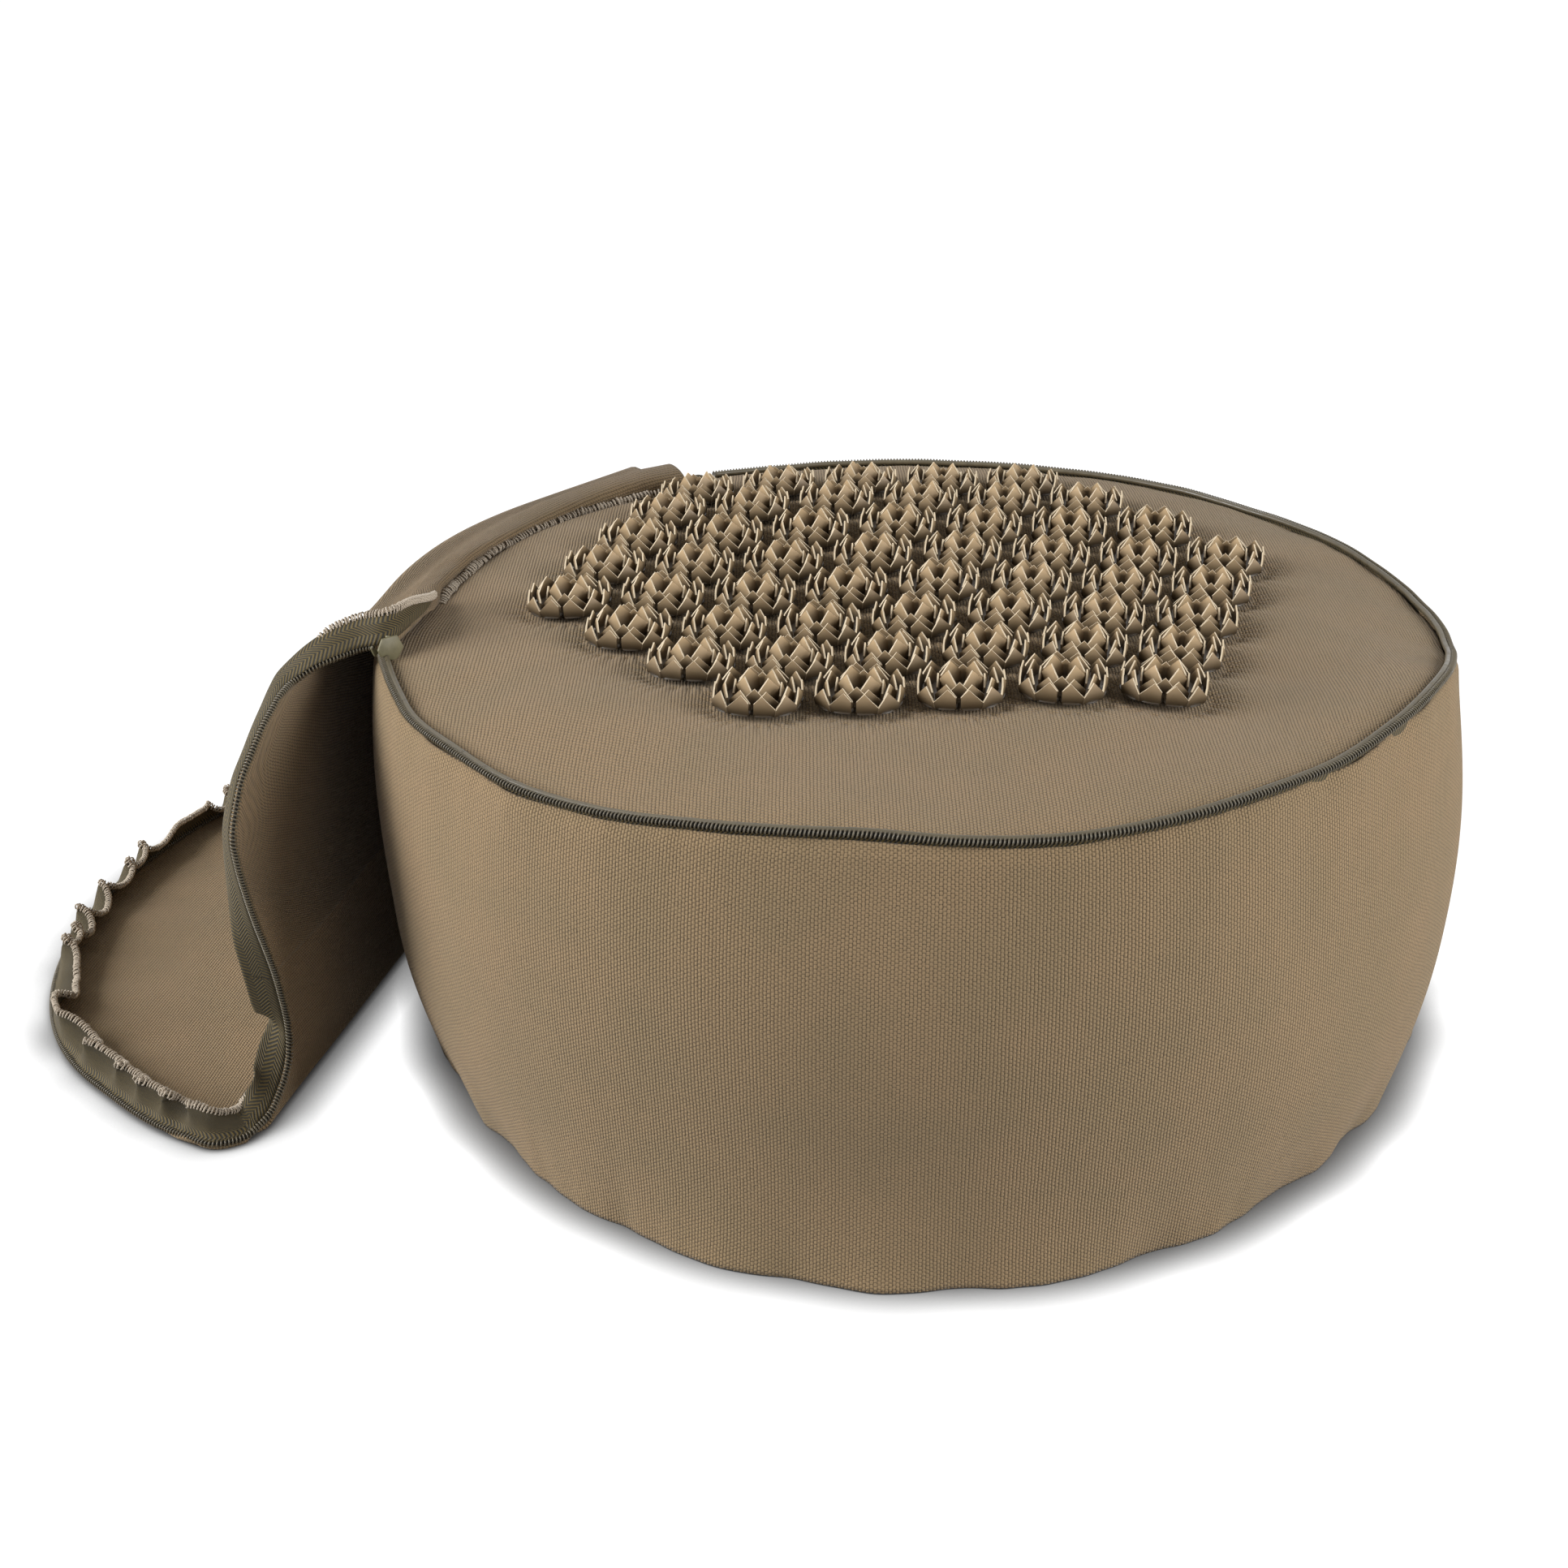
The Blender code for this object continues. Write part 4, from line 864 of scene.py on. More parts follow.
class CUSHION_OT_bottom(bpy.types.Operator):
    """Builds the bottom panel and the bound seam allowances at the bottom and under the top panel"""

    bl_idname = "cushion.bottom"
    bl_label = "Bottom and seams"

    def execute(self, context):
        columns, rows = 240, 40
        azimuth = np.broadcast_to(np.arange(columns) * 360.0 / columns, (rows, columns))
        share = np.linspace(0.003, 1.0, rows)[:, None]
        arc = azimuth * 2 * math.pi * RIM_RADIUS / 360.0
        reach = side_radius(azimuth, 0.0) - FABRIC - FABRIC_GAP
        pucker_height, pucker_length = 0.0004, 0.012
        pucker = pucker_height * np.abs(wander(arc / pucker_length, 31)) * ease((share - 0.9) / 0.1)
        points = polar(azimuth, reach * share, FABRIC / 2 + pucker)
        flat = points[..., :2] / MM
        flat = np.concatenate([flat, flat[:, :1]], axis=1)
        made = new_object("bottom_panel", quad_mesh("bottom_panel", points, True, flat), canvas_cover(),
                          nodes=["outer_bottom_panel"])
        thicken(made, FABRIC * 0.96)
        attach(made, "cushion")
        cotton = material_named("calico_plain_woven", calico)
        for name, node in (("bottom_binding", "bottom_seam_binding"), ("panel_binding", "panel_seam_binding")):
            self.binding(name, node, cotton)
        return {"FINISHED"}

    def binding(self, name, node, cotton):
        """A folded strip round a seam allowance, bulging on its inner side."""
        low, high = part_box(node)
        middle, height = (low[2] + high[2]) / 2, high[2] - low[2]
        columns, around = 360, 14
        azimuth = np.broadcast_to(np.arange(columns) * 360.0 / columns, (around + 1, columns))
        if node == "bottom_seam_binding":
            outer = side_radius(azimuth, 0.0) - FABRIC - 2 * FABRIC_GAP
        else:
            outer = np.full(azimuth.shape, PANEL_RADIUS - FABRIC_GAP)
        width = 0.0034
        turn = np.linspace(0.0, 2 * math.pi, around + 1)[:, None]
        across = np.sign(np.cos(turn)) * np.abs(np.cos(turn)) ** 0.5
        up = np.sign(np.sin(turn)) * np.abs(np.sin(turn)) ** 0.7
        fill = 0.96
        ripple = 1.0 - 0.12 * np.abs(wander(azimuth / 3.0, 41))
        z = middle + height / 2 * fill * up * ripple
        points = polar(azimuth, outer - width / 2 + width / 2 * across, z)
        cloth = cloth_lengths(np.concatenate([points, points[:, :1]], axis=1))
        made = new_object(name, quad_mesh(name, points[:-1], True, cloth[:-1]), cotton, "cushion",
                          [node])
        close_ring(made, columns)


def close_ring(made, columns):
    """Joins the last row of a tube mesh to its first."""
    bm = bmesh.new()
    bm.from_mesh(made.data)
    bm.verts.ensure_lookup_table()
    last = len(bm.verts) - columns
    layer = bm.loops.layers.uv.verify()
    for i in range(columns):
        right = (i + 1) % columns
        face = bm.faces.new([bm.verts[last + i], bm.verts[last + right], bm.verts[right], bm.verts[i]])
        face.smooth = True
        for loop, (x, y) in zip(face.loops, ((i, 40), (i + 1, 40), (i + 1, 41), (i, 41))):
            loop[layer].uv = (x * 3.5, y)
    bm.to_mesh(made.data)
    bm.free()


class CUSHION_OT_filling(bpy.types.Operator):
    """Builds the inner liner bag and the heap of hulls in it"""

    bl_idname = "cushion.filling"
    bl_label = "Liner and hulls"

    def execute(self, context):
        cotton = material_named("calico_plain_woven", calico)
        low, high = (np.array(corner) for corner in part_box("inner_liner"))
        columns, rows = 240, 60
        azimuth = np.broadcast_to(np.arange(columns) * 360.0 / columns, (rows, columns))
        share = np.linspace(0.0, 1.0, rows)[:, None]
        floor_share, liner_gap, corner_radius = 0.32, 0.0022, 0.0068
        rise = np.clip((share - floor_share) / (1 - floor_share), 0.0, 1.0)
        z = low[2] + 0.0006 + (high[2] - low[2] - 0.0012) * rise**1.4
        wall = np.minimum(side_radius(azimuth, z), side_radius(azimuth, 0.02) + 0.004) - FABRIC - liner_gap
        corner = ease(rise / 0.12) * corner_radius - corner_radius
        inward = np.clip(share / floor_share, 0.0, 1.0)
        crinkle = 0.0007 * wander(azimuth / 4.0, 51) * ease(rise * 3)
        base = (wall - corner_radius) * np.maximum(inward, 0.004)
        radius = np.where(share < floor_share, base, wall + corner - np.abs(crinkle))
        points = polar(azimuth, radius, z)
        cloth = cloth_lengths(np.concatenate([points, points[:, :1]], axis=1))
        liner = new_object("liner_bag", quad_mesh("liner_bag", points, True, cloth), cotton, None,
                           ["inner_liner"])
        thicken(liner, 0.0010)
        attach(liner, "cushion")
        heap_low, heap_high = (np.array(corner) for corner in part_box("hull_filling"))
        mesh = bpy.data.meshes.new("hull_heap")
        bm = bmesh.new()
        bmesh.ops.create_icosphere(bm, subdivisions=6, radius=1.0)
        middle = (heap_low + heap_high) / 2
        for vertex in bm.verts:
            direction = vertex.co.normalized()
            azimuth_here = math.degrees(math.atan2(direction.y, direction.x))
            height = middle[2] + (heap_high[2] - heap_low[2]) / 2 * max(-1.0, min(1.0, direction.z * 1.32))
            flat = math.sqrt(max(0.0, 1 - max(0.0, abs(direction.z) - 0.62) / 0.38))
            wall_here = float(side_radius(azimuth_here, height)) - FABRIC - 0.0064
            wall_here = min(wall_here, float(side_radius(azimuth_here, 0.02)) - 0.004)
            x = wall_here * flat * math.cos(math.radians(azimuth_here))
            y = wall_here * flat * math.sin(math.radians(azimuth_here))
            top = float(panel_height(x, y)) - 0.0042
            grain = 0.0009 * noise.cell(direction * 80)
            vertex.co = (x, y, min(height, top - 0.012 * flat**6) - abs(grain))
        bm.to_mesh(mesh)
        bm.free()
        heap = new_object("hull_heap", mesh, material_named("buckwheat_hulls_loose", hulls), "cushion",
                          ["hull_filling"])
        return {"FINISHED"}


def disc_distance(x, y):
    """Distance from each point to the rim of the nearest disc, and the direction from that disc."""
    spots = np.array([tuple(spot) for row in disc_spots() for spot in row])
    dx, dy = x[..., None] - spots[:, 0], y[..., None] - spots[:, 1]
    away = np.hypot(dx, dy)
    nearest = np.argmin(away, axis=-1)[..., None]
    pick = [np.take_along_axis(values, nearest, axis=-1)[..., 0] for values in (away, dx, dy)]
    return pick[0] - DISC_RADIUS, np.arctan2(pick[2], pick[1])


class CUSHION_OT_panel(bpy.types.Operator):
    """Builds the top panel, drawn down under each disc and gathered between them"""

    bl_idname = "cushion.panel"
    bl_label = "Top panel"

    def execute(self, context):
        columns, rows = 900, 220
        azimuth = np.broadcast_to(np.arange(columns) * 360.0 / columns, (rows, columns))
        share = np.linspace(0.004, 1.0, rows)[:, None]
        flat_share = 0.972
        sunk, sunk_reach, fold_depth, folds_round = 0.0012, 0.0055, 0.0011, 26
        groove, groove_width = 0.0030, 0.0030
        radial = np.minimum(share / flat_share, 1.0)
        rolled = np.clip((share - flat_share) / (1 - flat_share), 0.0, 1.0)
        rim = rim_line(azimuth)
        edge = ease((radial - 0.74) / 0.26)
        base_radius = (PANEL_RADIUS - 0.0022) * radial
        flat = polar(azimuth, base_radius)
        x, y = flat[..., 0], flat[..., 1]
        height = panel_height(x, y) + rim[..., 1] * edge
        gap, around = disc_distance(x, y)
        outside = np.maximum(gap, 0.0)
        near = np.exp(-outside / sunk_reach)
        folds = 0.5 + 0.5 * np.sin(around * folds_round + 1.7 * np.sin(around * 5))
        height = height - sunk * near - fold_depth * near * folds * ease(gap / 0.002)
        swell = wander(x / 0.05 + y / 0.09, 61) * wander(y / 0.06, 62)
        height = height + 0.0006 * swell * (1 - radial**4)
        arc = azimuth * 2 * math.pi * RIM_RADIUS / 360.0
        height = height + 0.0005 * wander(arc / 0.03, 63) * ease((radial - 0.9) / 0.1)
        radius = base_radius + rim[..., 0] * edge + 0.0020 * np.sin(rolled * math.pi / 2)
        z = height - FABRIC / 2 - PANEL_ROLL * (1 - np.cos(rolled * math.pi / 2)) + 0.0022 * edge * (1 - rolled)
        sewn = ease((azimuth - SEAM_BACK + 2.0) / 6.0) * ease((SEAM_FRONT + 2.0 - azimuth) / 6.0)
        z = z - groove * sewn * np.exp(-((radius - SEAM_RADIUS + 0.0012) / groove_width) ** 2)
        points = polar(azimuth, radius, z)
        cloth = np.stack([y, x], axis=-1) / MM
        cloth = np.concatenate([cloth, cloth[:, :1]], axis=1)
        made = new_object("top_panel", quad_mesh("top_panel", points, True, cloth), canvas_cover(),
                          nodes=["spike_panel"])
        thicken(made, FABRIC * 0.9)
        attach(made, "cushion")
        return {"FINISHED"}


# Petals of a disc: radius of their ring, width, height of the shoulders, height of the tip, foot and bow
OUTER_PETAL = (0.0146, 0.0101, 0.0027, 0.0076, 0.0003, 0.0006)
CORNER_PETAL = (0.0157, 0.0089, 0.0029, 0.0074, 0.0003, 0.0006)
MIDDLE_PETAL = (0.0116, 0.0084, 0.0038, 0.0080, 0.0012, 0.0003)
INNER_PETAL = (0.0078, 0.0076, 0.0038, 0.0076, 0.0012, 0.0003)
HEART_PETAL = (0.0056, 0.0090, 0.0058, 0.0104, 0.0012, 0.0003)
# The two outer petals of a side stand a little apart, and each is cut short where they would meet
OUTER_TURN = 6.0
OUTER_SHIFT = 0.0021
OUTER_CUT = 0.00225
MIDDLE_TURN = 22.5
# The disc's foot: radius and height from the outside in
FOOT_PROFILE = (
    (0.0151, 0.0), (0.0155, 0.0002), (0.0154, 0.0007), (0.0145, 0.0010), (0.0140, 0.0016), (0.0120, 0.0017),
)
FOOT_SQUARENESS = 2.6


def add_petal(bm, petal, azimuth, thickness, cuts=(0.0, 0.0), shift=0.0):
    """A thin upright plate with a gable top, square to the disc's radius and bowed out a little.

    cuts shorten it at its two sides, and shift moves it sideways."""
    ring_radius, width, shoulder, tip, foot, bow = petal
    rows = 4
    left, right = -width / 2 + cuts[0], width / 2 - cuts[1]
    places = (left, left / 2, 0.0, right / 2, right)
    columns = len(places) - 1
    radial = np.array((math.cos(math.radians(azimuth)), math.sin(math.radians(azimuth)), 0.0))
    across = np.array((-radial[1], radial[0], 0.0))
    faces = {}
    for side in (0, 1):
        for column, x in enumerate(places):
            peak = tip - (tip - shoulder) * abs(x) / (width / 2)
            for row in range(rows + 1):
                z = foot + (peak - foot) * row / rows
                level = (z - foot) / (tip - foot)
                lean = 0.0003 * level + bow * math.sin(math.pi * min(level * 1.1, 1.0))
                thin = thickness * (1.0 - 0.35 * level)
                out = ring_radius + lean + (thin / 2 if side else -thin / 2)
                place = radial * out + across * (x + shift)
                faces[side, column, row] = bm.verts.new((place[0], place[1], z))

    def quad(*keys, rim=False):
        face = bm.faces.new([faces[key] for key in keys])
        # A petal's top edge takes the second material, its painted highlight.
        face.material_index = 1 if rim else 0

    for column in range(columns):
        for row in range(rows):
            here, right_of = (column, row), (column + 1, row)
            quad((1, *here), (1, *right_of), (1, column + 1, row + 1), (1, column, row + 1))
            quad((0, column, row + 1), (0, column + 1, row + 1), (0, *right_of), (0, *here))
        quad((1, column, rows), (1, column + 1, rows), (0, column + 1, rows), (0, column, rows), rim=True)
        quad((0, column, 0), (0, column + 1, 0), (1, column + 1, 0), (1, column, 0))
    for column, order in ((0, 1), (columns, -1)):
        for row in range(rows):
            quad(*[(0, column, row), (1, column, row), (1, column, row + 1), (0, column, row + 1)][::order])


def lotus_mesh(discs):
    """One lotus disc at the origin: a squarish foot, and 28 gabled petals in rings round its middle."""
    bm = bmesh.new()
    wall = discs.petal_thickness
    for side in range(4):
        turn = 90.0 * side
        for hand, cuts in ((1, (OUTER_CUT, 0.0)), (-1, (0.0, OUTER_CUT))):
            add_petal(bm, OUTER_PETAL, turn + OUTER_TURN * hand, wall, cuts, OUTER_SHIFT * hand)
            add_petal(bm, MIDDLE_PETAL, turn + MIDDLE_TURN * hand, wall)
        add_petal(bm, CORNER_PETAL, turn + 45.0, wall)
        add_petal(bm, INNER_PETAL, turn, wall)
        add_petal(bm, HEART_PETAL, turn + 45.0, wall)
    around = 144
    rings = []
    for radius, z in FOOT_PROFILE:
        ring = []
        for i in range(around):
            angle = 2 * math.pi * i / around
            sides = abs(math.cos(angle)) ** FOOT_SQUARENESS + abs(math.sin(angle)) ** FOOT_SQUARENESS
            square = sides ** (-1 / FOOT_SQUARENESS)
            lobe = 0.0006 * (1 - abs(math.sin(6 * angle)) ** 0.6)
            notch = 0.0022 * max(0.0, 1 - abs(math.sin(2 * angle)) / 0.12) ** 0.5
            reach = radius * square - lobe - notch
            ring.append(bm.verts.new((reach * math.cos(angle), reach * math.sin(angle), z)))
        rings.append(ring)
    for low, high in zip(rings, rings[1:]):
        for i in range(around):
            right = (i + 1) % around
            bm.faces.new([low[i], low[right], high[right], high[i]])
    bm.faces.new(rings[0][::-1])
    bm.faces.new(rings[-1])
    bmesh.ops.recalc_face_normals(bm, faces=bm.faces)
    layer = bm.loops.layers.uv.new("cloth")
    for face in bm.faces:
        for loop in face.loops:
            loop[layer].uv = (loop.vert.co.x / MM, loop.vert.co.z / MM)
    mesh = bpy.data.meshes.new("lotus")
    bm.to_mesh(mesh)
    bm.free()
    return mesh


class CUSHION_OT_discs(bpy.types.Operator):
    """Builds the lotus spike discs, row by row"""

    bl_idname = "cushion.discs"
    bl_label = "Spike discs"

    def execute(self, context):
        discs = context.scene.cushion_discs
        plastic = abs_plastic("abs_injection_moulded", discs.plastic, 0.42)
        # The petals' top edges get a pale colour of their own: a painted highlight.
        rim = abs_plastic("abs_petal_rims_painted_highlight", discs.rim, 0.5, False)
        lotus = lotus_mesh(discs)
        rng = random.Random(7)
        for number, spots in enumerate(disc_spots(), start=1):
            bm = bmesh.new()
            for spot in spots:
                before = len(bm.verts)
                bm.from_mesh(lotus)
                bm.verts.ensure_lookup_table()
                turn = Matrix.Rotation(math.radians(rng.uniform(-11.0, -6.0)), 4, "Z")
                place = disc_seat(spot) @ turn
                bmesh.ops.transform(bm, matrix=place, verts=bm.verts[before:])
            mesh = bpy.data.meshes.new(f"spike_discs_{number}")
            bm.to_mesh(mesh)
            bm.free()
            new_object(mesh.name, mesh, [plastic, rim], "cushion", [f"spike_row_{number}"])
            mesh.set_sharp_from_angle(angle=math.radians(38))
        bpy.data.meshes.remove(lotus)
        return {"FINISHED"}


class CUSHION_OT_rim_zip(bpy.types.Operator):
    """Builds the cushion's half of the zip: coil, cord, tape, the tape's folded edge and overlocked edge"""

    bl_idname = "cushion.rim_zip"
    bl_label = "Rim zip"

    def execute(self, context):
        zipper = context.scene.cushion_zip
        azimuth = np.linspace(191.6, ZIP_END, 1400)
        out = polar(azimuth, 1.0)
        slope = np.stack([out[:, 0], out[:, 1], np.full(len(out), 0.9)], axis=-1)
        outer = rim_place(azimuth, 0.0007, -0.0001)
        turns = wound(outer, slope, zipper.coil_pitch, width=0.0021, depth=0.0019)
        mesh = strands("rim_coil", [turns], 0.00031, 6)
        new_object("rim_coil", mesh, coil_material(), "cushion", ["rim_zip_coil"])
        # The cord inside the coil is painted almost black: painted shade between the turns.
        cord = strands("rim_coil_cord", [resample(outer, 0.002, out)], 0.00065, 8)
        new_object("rim_coil_cord", cord, cord_material(), "cushion")
        inner = resample(rim_place(azimuth, -0.0012, 0.0001), 0.002, out)
        fold = strands("rim_tape_fold", [inner], 0.00115, 12)
        new_object("rim_tape_fold", fold, coil_material(), "cushion")
        heights = np.linspace(0.0, 1.0, 9)[:, None]
        drop = (TAPE_TOP + 0.0004 - TAPE_LOW) * heights
        rim = rim_line(azimuth)
        follow = 1.0 - 0.5 * heights
        radius = RIM_RADIUS + rim[:, 0] * follow
        z = TAPE_TOP + 0.0004 - drop + rim[:, 1]
        points = polar(np.broadcast_to(azimuth, z.shape), radius, z)
        mesh = quad_mesh("rim_tape", points, False, cloth_lengths(points))
        tape = new_object("rim_tape", mesh, tape_material(), None, ["rim_zip_tape"])
        thicken(tape, TAPE * 0.9)
        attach(tape, "cushion")
        low = polar(azimuth, RIM_RADIUS + rim[:, 0] * 0.5, TAPE_LOW - 0.0013 + rim[:, 1])
        stitches = wound(low, polar(azimuth, 1.0), pitch=0.0024, width=0.0018, depth=0.0011, steps=8,
                         squareness=0.8, jitter=0.25, seed=71)
        mesh = strands("rim_overlock", [stitches], 0.00022, 4)
        new_object("rim_overlock", mesh, overlock_thread(), "cushion", ["rim_tape_overlock"])
        return {"FINISHED"}


# The slider as the slack tape holds it: its middle lies this far in from the pull's pivot, turned back from
# the zip's start, tilted down at its face and dipping at its crown
SLIDER_IN = 0.0058
SLIDER_TURN = 60.0
SLIDER_TILT = -0.12
SLIDER_DIP = math.radians(18)
PLATE = 0.0012
LANE = 0.00205
PLATE_OUTLINE = (
    (-0.0052, 0.0018), (-0.0030, 0.0046), (0.0034, 0.0046), (0.0055, -0.0008), (0.0020, -0.0048),
    (-0.0042, -0.0028),
)
# The pull hanging from its eye: height, then half its width
PULL_OUTLINE = (
    (0.0, 0.0025), (-0.0040, 0.0024), (-0.0075, 0.0016), (-0.0110, 0.0019), (-0.0185, 0.0025),
    (-0.0222, 0.0022), (-0.0235, 0.0010),
)
PULL_LENGTH = 0.0235
EYE_OUTER, EYE_INNER, EYE_HALF_WIDTH = 0.00195, 0.00115, 0.0024


def slider_frame():
    """The slider as the slack tape turns it at the zip's start: crown first, its plate towards the front."""
    pivot = Vector(polar(ZIP_START, BAR_RADIUS, BAR_HEIGHT).tolist())
    yaw = math.radians(ZIP_START - SLIDER_TURN)
    outward = Vector((math.cos(yaw), math.sin(yaw), SLIDER_TILT)).normalized()
    level = Vector((math.sin(yaw), -math.cos(yaw), 0.0))
    crown = level * math.cos(SLIDER_DIP) - Vector((0, 0, math.sin(SLIDER_DIP)))
    crown = (crown - outward * crown.dot(outward)).normalized()
    up = outward.cross(crown)
    middle = pivot - outward * SLIDER_IN
    return Matrix.Translation(middle) @ Matrix((outward, crown, up)).transposed().to_4x4()


class CUSHION_OT_slider(bpy.types.Operator):
    """Builds the slider, its bridge and its pull"""

    bl_idname = "cushion.slider"
    bl_label = "Slider and pull"

    def execute(self, context):
        metal = painted_zinc(context.scene.cushion_zip)
        place = slider_frame()
        bm = bmesh.new()
        for side in (-1, 1):
            near, far = side * LANE, side * (LANE + PLATE)
            loops = []
            for x in (near, far):
                loops.append([bm.verts.new((x, along, up)) for along, up in PLATE_OUTLINE])
            for i in range(len(PLATE_OUTLINE)):
                j = (i + 1) % len(PLATE_OUTLINE)
                bm.faces.new([loops[0][i], loops[0][j], loops[1][j], loops[1][i]])
            bm.faces.new(loops[0])
            bm.faces.new(loops[1][::-1])
        low, high = Vector((-LANE - 0.0002, 0.0008, -0.0009)), Vector((LANE + 0.0002, 0.0046, 0.0009))
        fit = Matrix.Translation((low + high) / 2) @ Matrix.Diagonal((*(high - low), 1.0))
        bmesh.ops.create_cube(bm, size=1.0, matrix=fit)
        for side in (-1, 1):
            for edge in (-1, 1):
                lip = Matrix.Translation((side * (LANE - 0.0004), 0.0002, edge * 0.0037))
                lip = lip @ Matrix.Diagonal((0.0012, 0.0044, 0.0008, 1.0))
                bmesh.ops.create_cube(bm, size=1.0, matrix=lip)
        bmesh.ops.recalc_face_normals(bm, faces=bm.faces)
        bmesh.ops.transform(bm, matrix=place, verts=bm.verts)
        mesh = bpy.data.meshes.new("slider_body")
        bm.to_mesh(mesh)
        bm.free()
        body = new_object("slider_body", mesh, metal, None, ["zip_slider"])
        self.round_edges(body, 0.00028)
        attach(body, "slider")

        pivot = Vector(polar(ZIP_START, BAR_RADIUS, BAR_HEIGHT).tolist())
        tangent = Vector(polar(ZIP_START - 90.0, 1.0).tolist())
        face = LANE + PLATE * 0.5
        start = [place @ Vector(spot) for spot in ((face, 0.0032, 0.0006), (face + 0.0016, 0.0033, 0.0006))]
        end = [place @ Vector(spot) for spot in ((face + 0.0016, -0.0034, 0.0004), (face, -0.0033, 0.0004))]
        arch = [pivot + tangent * out for out in (-0.0031, -0.0016, 0.0, 0.0016, 0.0031)]
        knots = np.array([tuple(knot) for knot in start + arch + end])
        wire = through(np.linspace(0, 1, len(knots)), knots, np.linspace(0, 1, 60))
        normals = np.broadcast_to(np.array((0.0, 0.0, 1.0)), wire.shape)
        mesh = strands("slider_bridge", [(wire, normals)], 0.0007, 12)
        new_object("slider_bridge", mesh, metal, "slider", ["zip_slider_bridge"])
        self.pull(metal, pivot)
        return {"FINISHED"}

    def pull(self, metal, pivot):
        """A flat tongue that narrows to its waist below the eye and hangs from the bridge."""
        bm = bmesh.new()
        half = 0.0006
        edge = [*PULL_OUTLINE, *[(z, -w) for z, w in PULL_OUTLINE[::-1]]]
        loops = [[bm.verts.new((x, w, z - 0.0006)) for z, w in edge] for x in (-half, half)]
        for i in range(len(edge)):
            j = (i + 1) % len(edge)
            bm.faces.new([loops[0][i], loops[0][j], loops[1][j], loops[1][i]])
        bm.faces.new(loops[0][::-1])
        bm.faces.new(loops[1])
        around = 20
        turns = [2 * math.pi * i / around for i in range(around)]
        rings = []
        for radius, side in ((EYE_OUTER, -1), (EYE_OUTER, 1), (EYE_INNER, 1), (EYE_INNER, -1)):
            across = side * EYE_HALF_WIDTH
            rings.append([bm.verts.new((radius * math.cos(turn), across, radius * math.sin(turn)))
                          for turn in turns])
        for a, b in zip(rings, rings[1:] + rings[:1]):
            for i in range(around):
                j = (i + 1) % around
                bm.faces.new([a[i], a[j], b[j], b[i]])
        bmesh.ops.recalc_face_normals(bm, faces=bm.faces)
        start = Matrix.Translation((0, 0, -0.0013))
        for vertex in loops[0] + loops[1]:
            vertex.co = start @ vertex.co
        foot = float(side_radius(ZIP_START, RIM_HEIGHT - PULL_LENGTH)) + FABRIC_GAP + half
        lean = math.atan2(max(foot - BAR_RADIUS, 0.0) + 0.0004, PULL_LENGTH)
        hang = Matrix.Rotation(math.radians(ZIP_START), 4, "Z")
        place = Matrix.Translation(pivot) @ hang @ Matrix.Rotation(-lean, 4, "Y")
        bmesh.ops.transform(bm, matrix=place, verts=bm.verts)
        mesh = bpy.data.meshes.new("pull_tab")
        bm.to_mesh(mesh)
        bm.free()
        made = new_object("pull_tab", mesh, metal, None, ["zip_pull"])
        self.round_edges(made, 0.0002)
        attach(made, "pull")

    def round_edges(self, made, width):
        bevel = made.modifiers.new("edges", "BEVEL")
        bevel.width = width
        bevel.segments = 2
        bevel.limit_method = "ANGLE"
        apply_modifiers(made)
        made.data.shade_smooth()
        made.data.set_sharp_from_angle(angle=math.radians(40))


WALL_FRONT_TOP = 0.1612  # top of the hanging part at the lid's front edge
SPLIT_HEIGHT = 0.060  # where the two lid sheets meet
FLOOR_FRONT = 0.001  # where the sheet on the floor starts, from the front corner
CORNER_CUT = 0.0065  # how far its corner at the crease is rounded back
TAPE_SHARE = 0.08  # where the tape starts along the lid's top edge


def lid_columns(count):
    """Shares across the lid, closer together at its two edges."""
    even = np.linspace(0.0, 1.0, count)
    return 0.45 * even + 0.55 * (0.5 - 0.5 * np.cos(math.pi * even))


def wall_top(u):
    keys = np.array(WALL_TOP) * MM
    return through(keys[:, 0], keys[:, 1], u)


def lid_ripple(u, z):
    """Soft vertical folds of the hanging cloth."""
    return 0.0012 * wander(u / 0.075 + z * 2.0, 81) * ease(z / 0.03) * ease((wall_top(u) - z) / 0.04)


def wall_points(z_front, z_back, columns, top=False):
    """Rows of the hanging lid, from their height at its front edge and at its back edge."""
    z_front, z_back = np.asarray(z_front, float)[:, None], np.asarray(z_back, float)[:, None]
    share = lid_columns(columns)[None, :]
    front, back = front_setback(z_front), LID_DIAMETER - back_setback(z_back)
    u = front + (back - front) * share
    if top:
        down = (z_back[0] - z_back) / (z_back[0] - SPLIT_HEIGHT)
        z = wall_top(u) + (SPLIT_HEIGHT - wall_top(u)) * down
    else:
        z = np.broadcast_to(z_front, u.shape)
    return on_wall(u, z, lid_ripple(u, z))


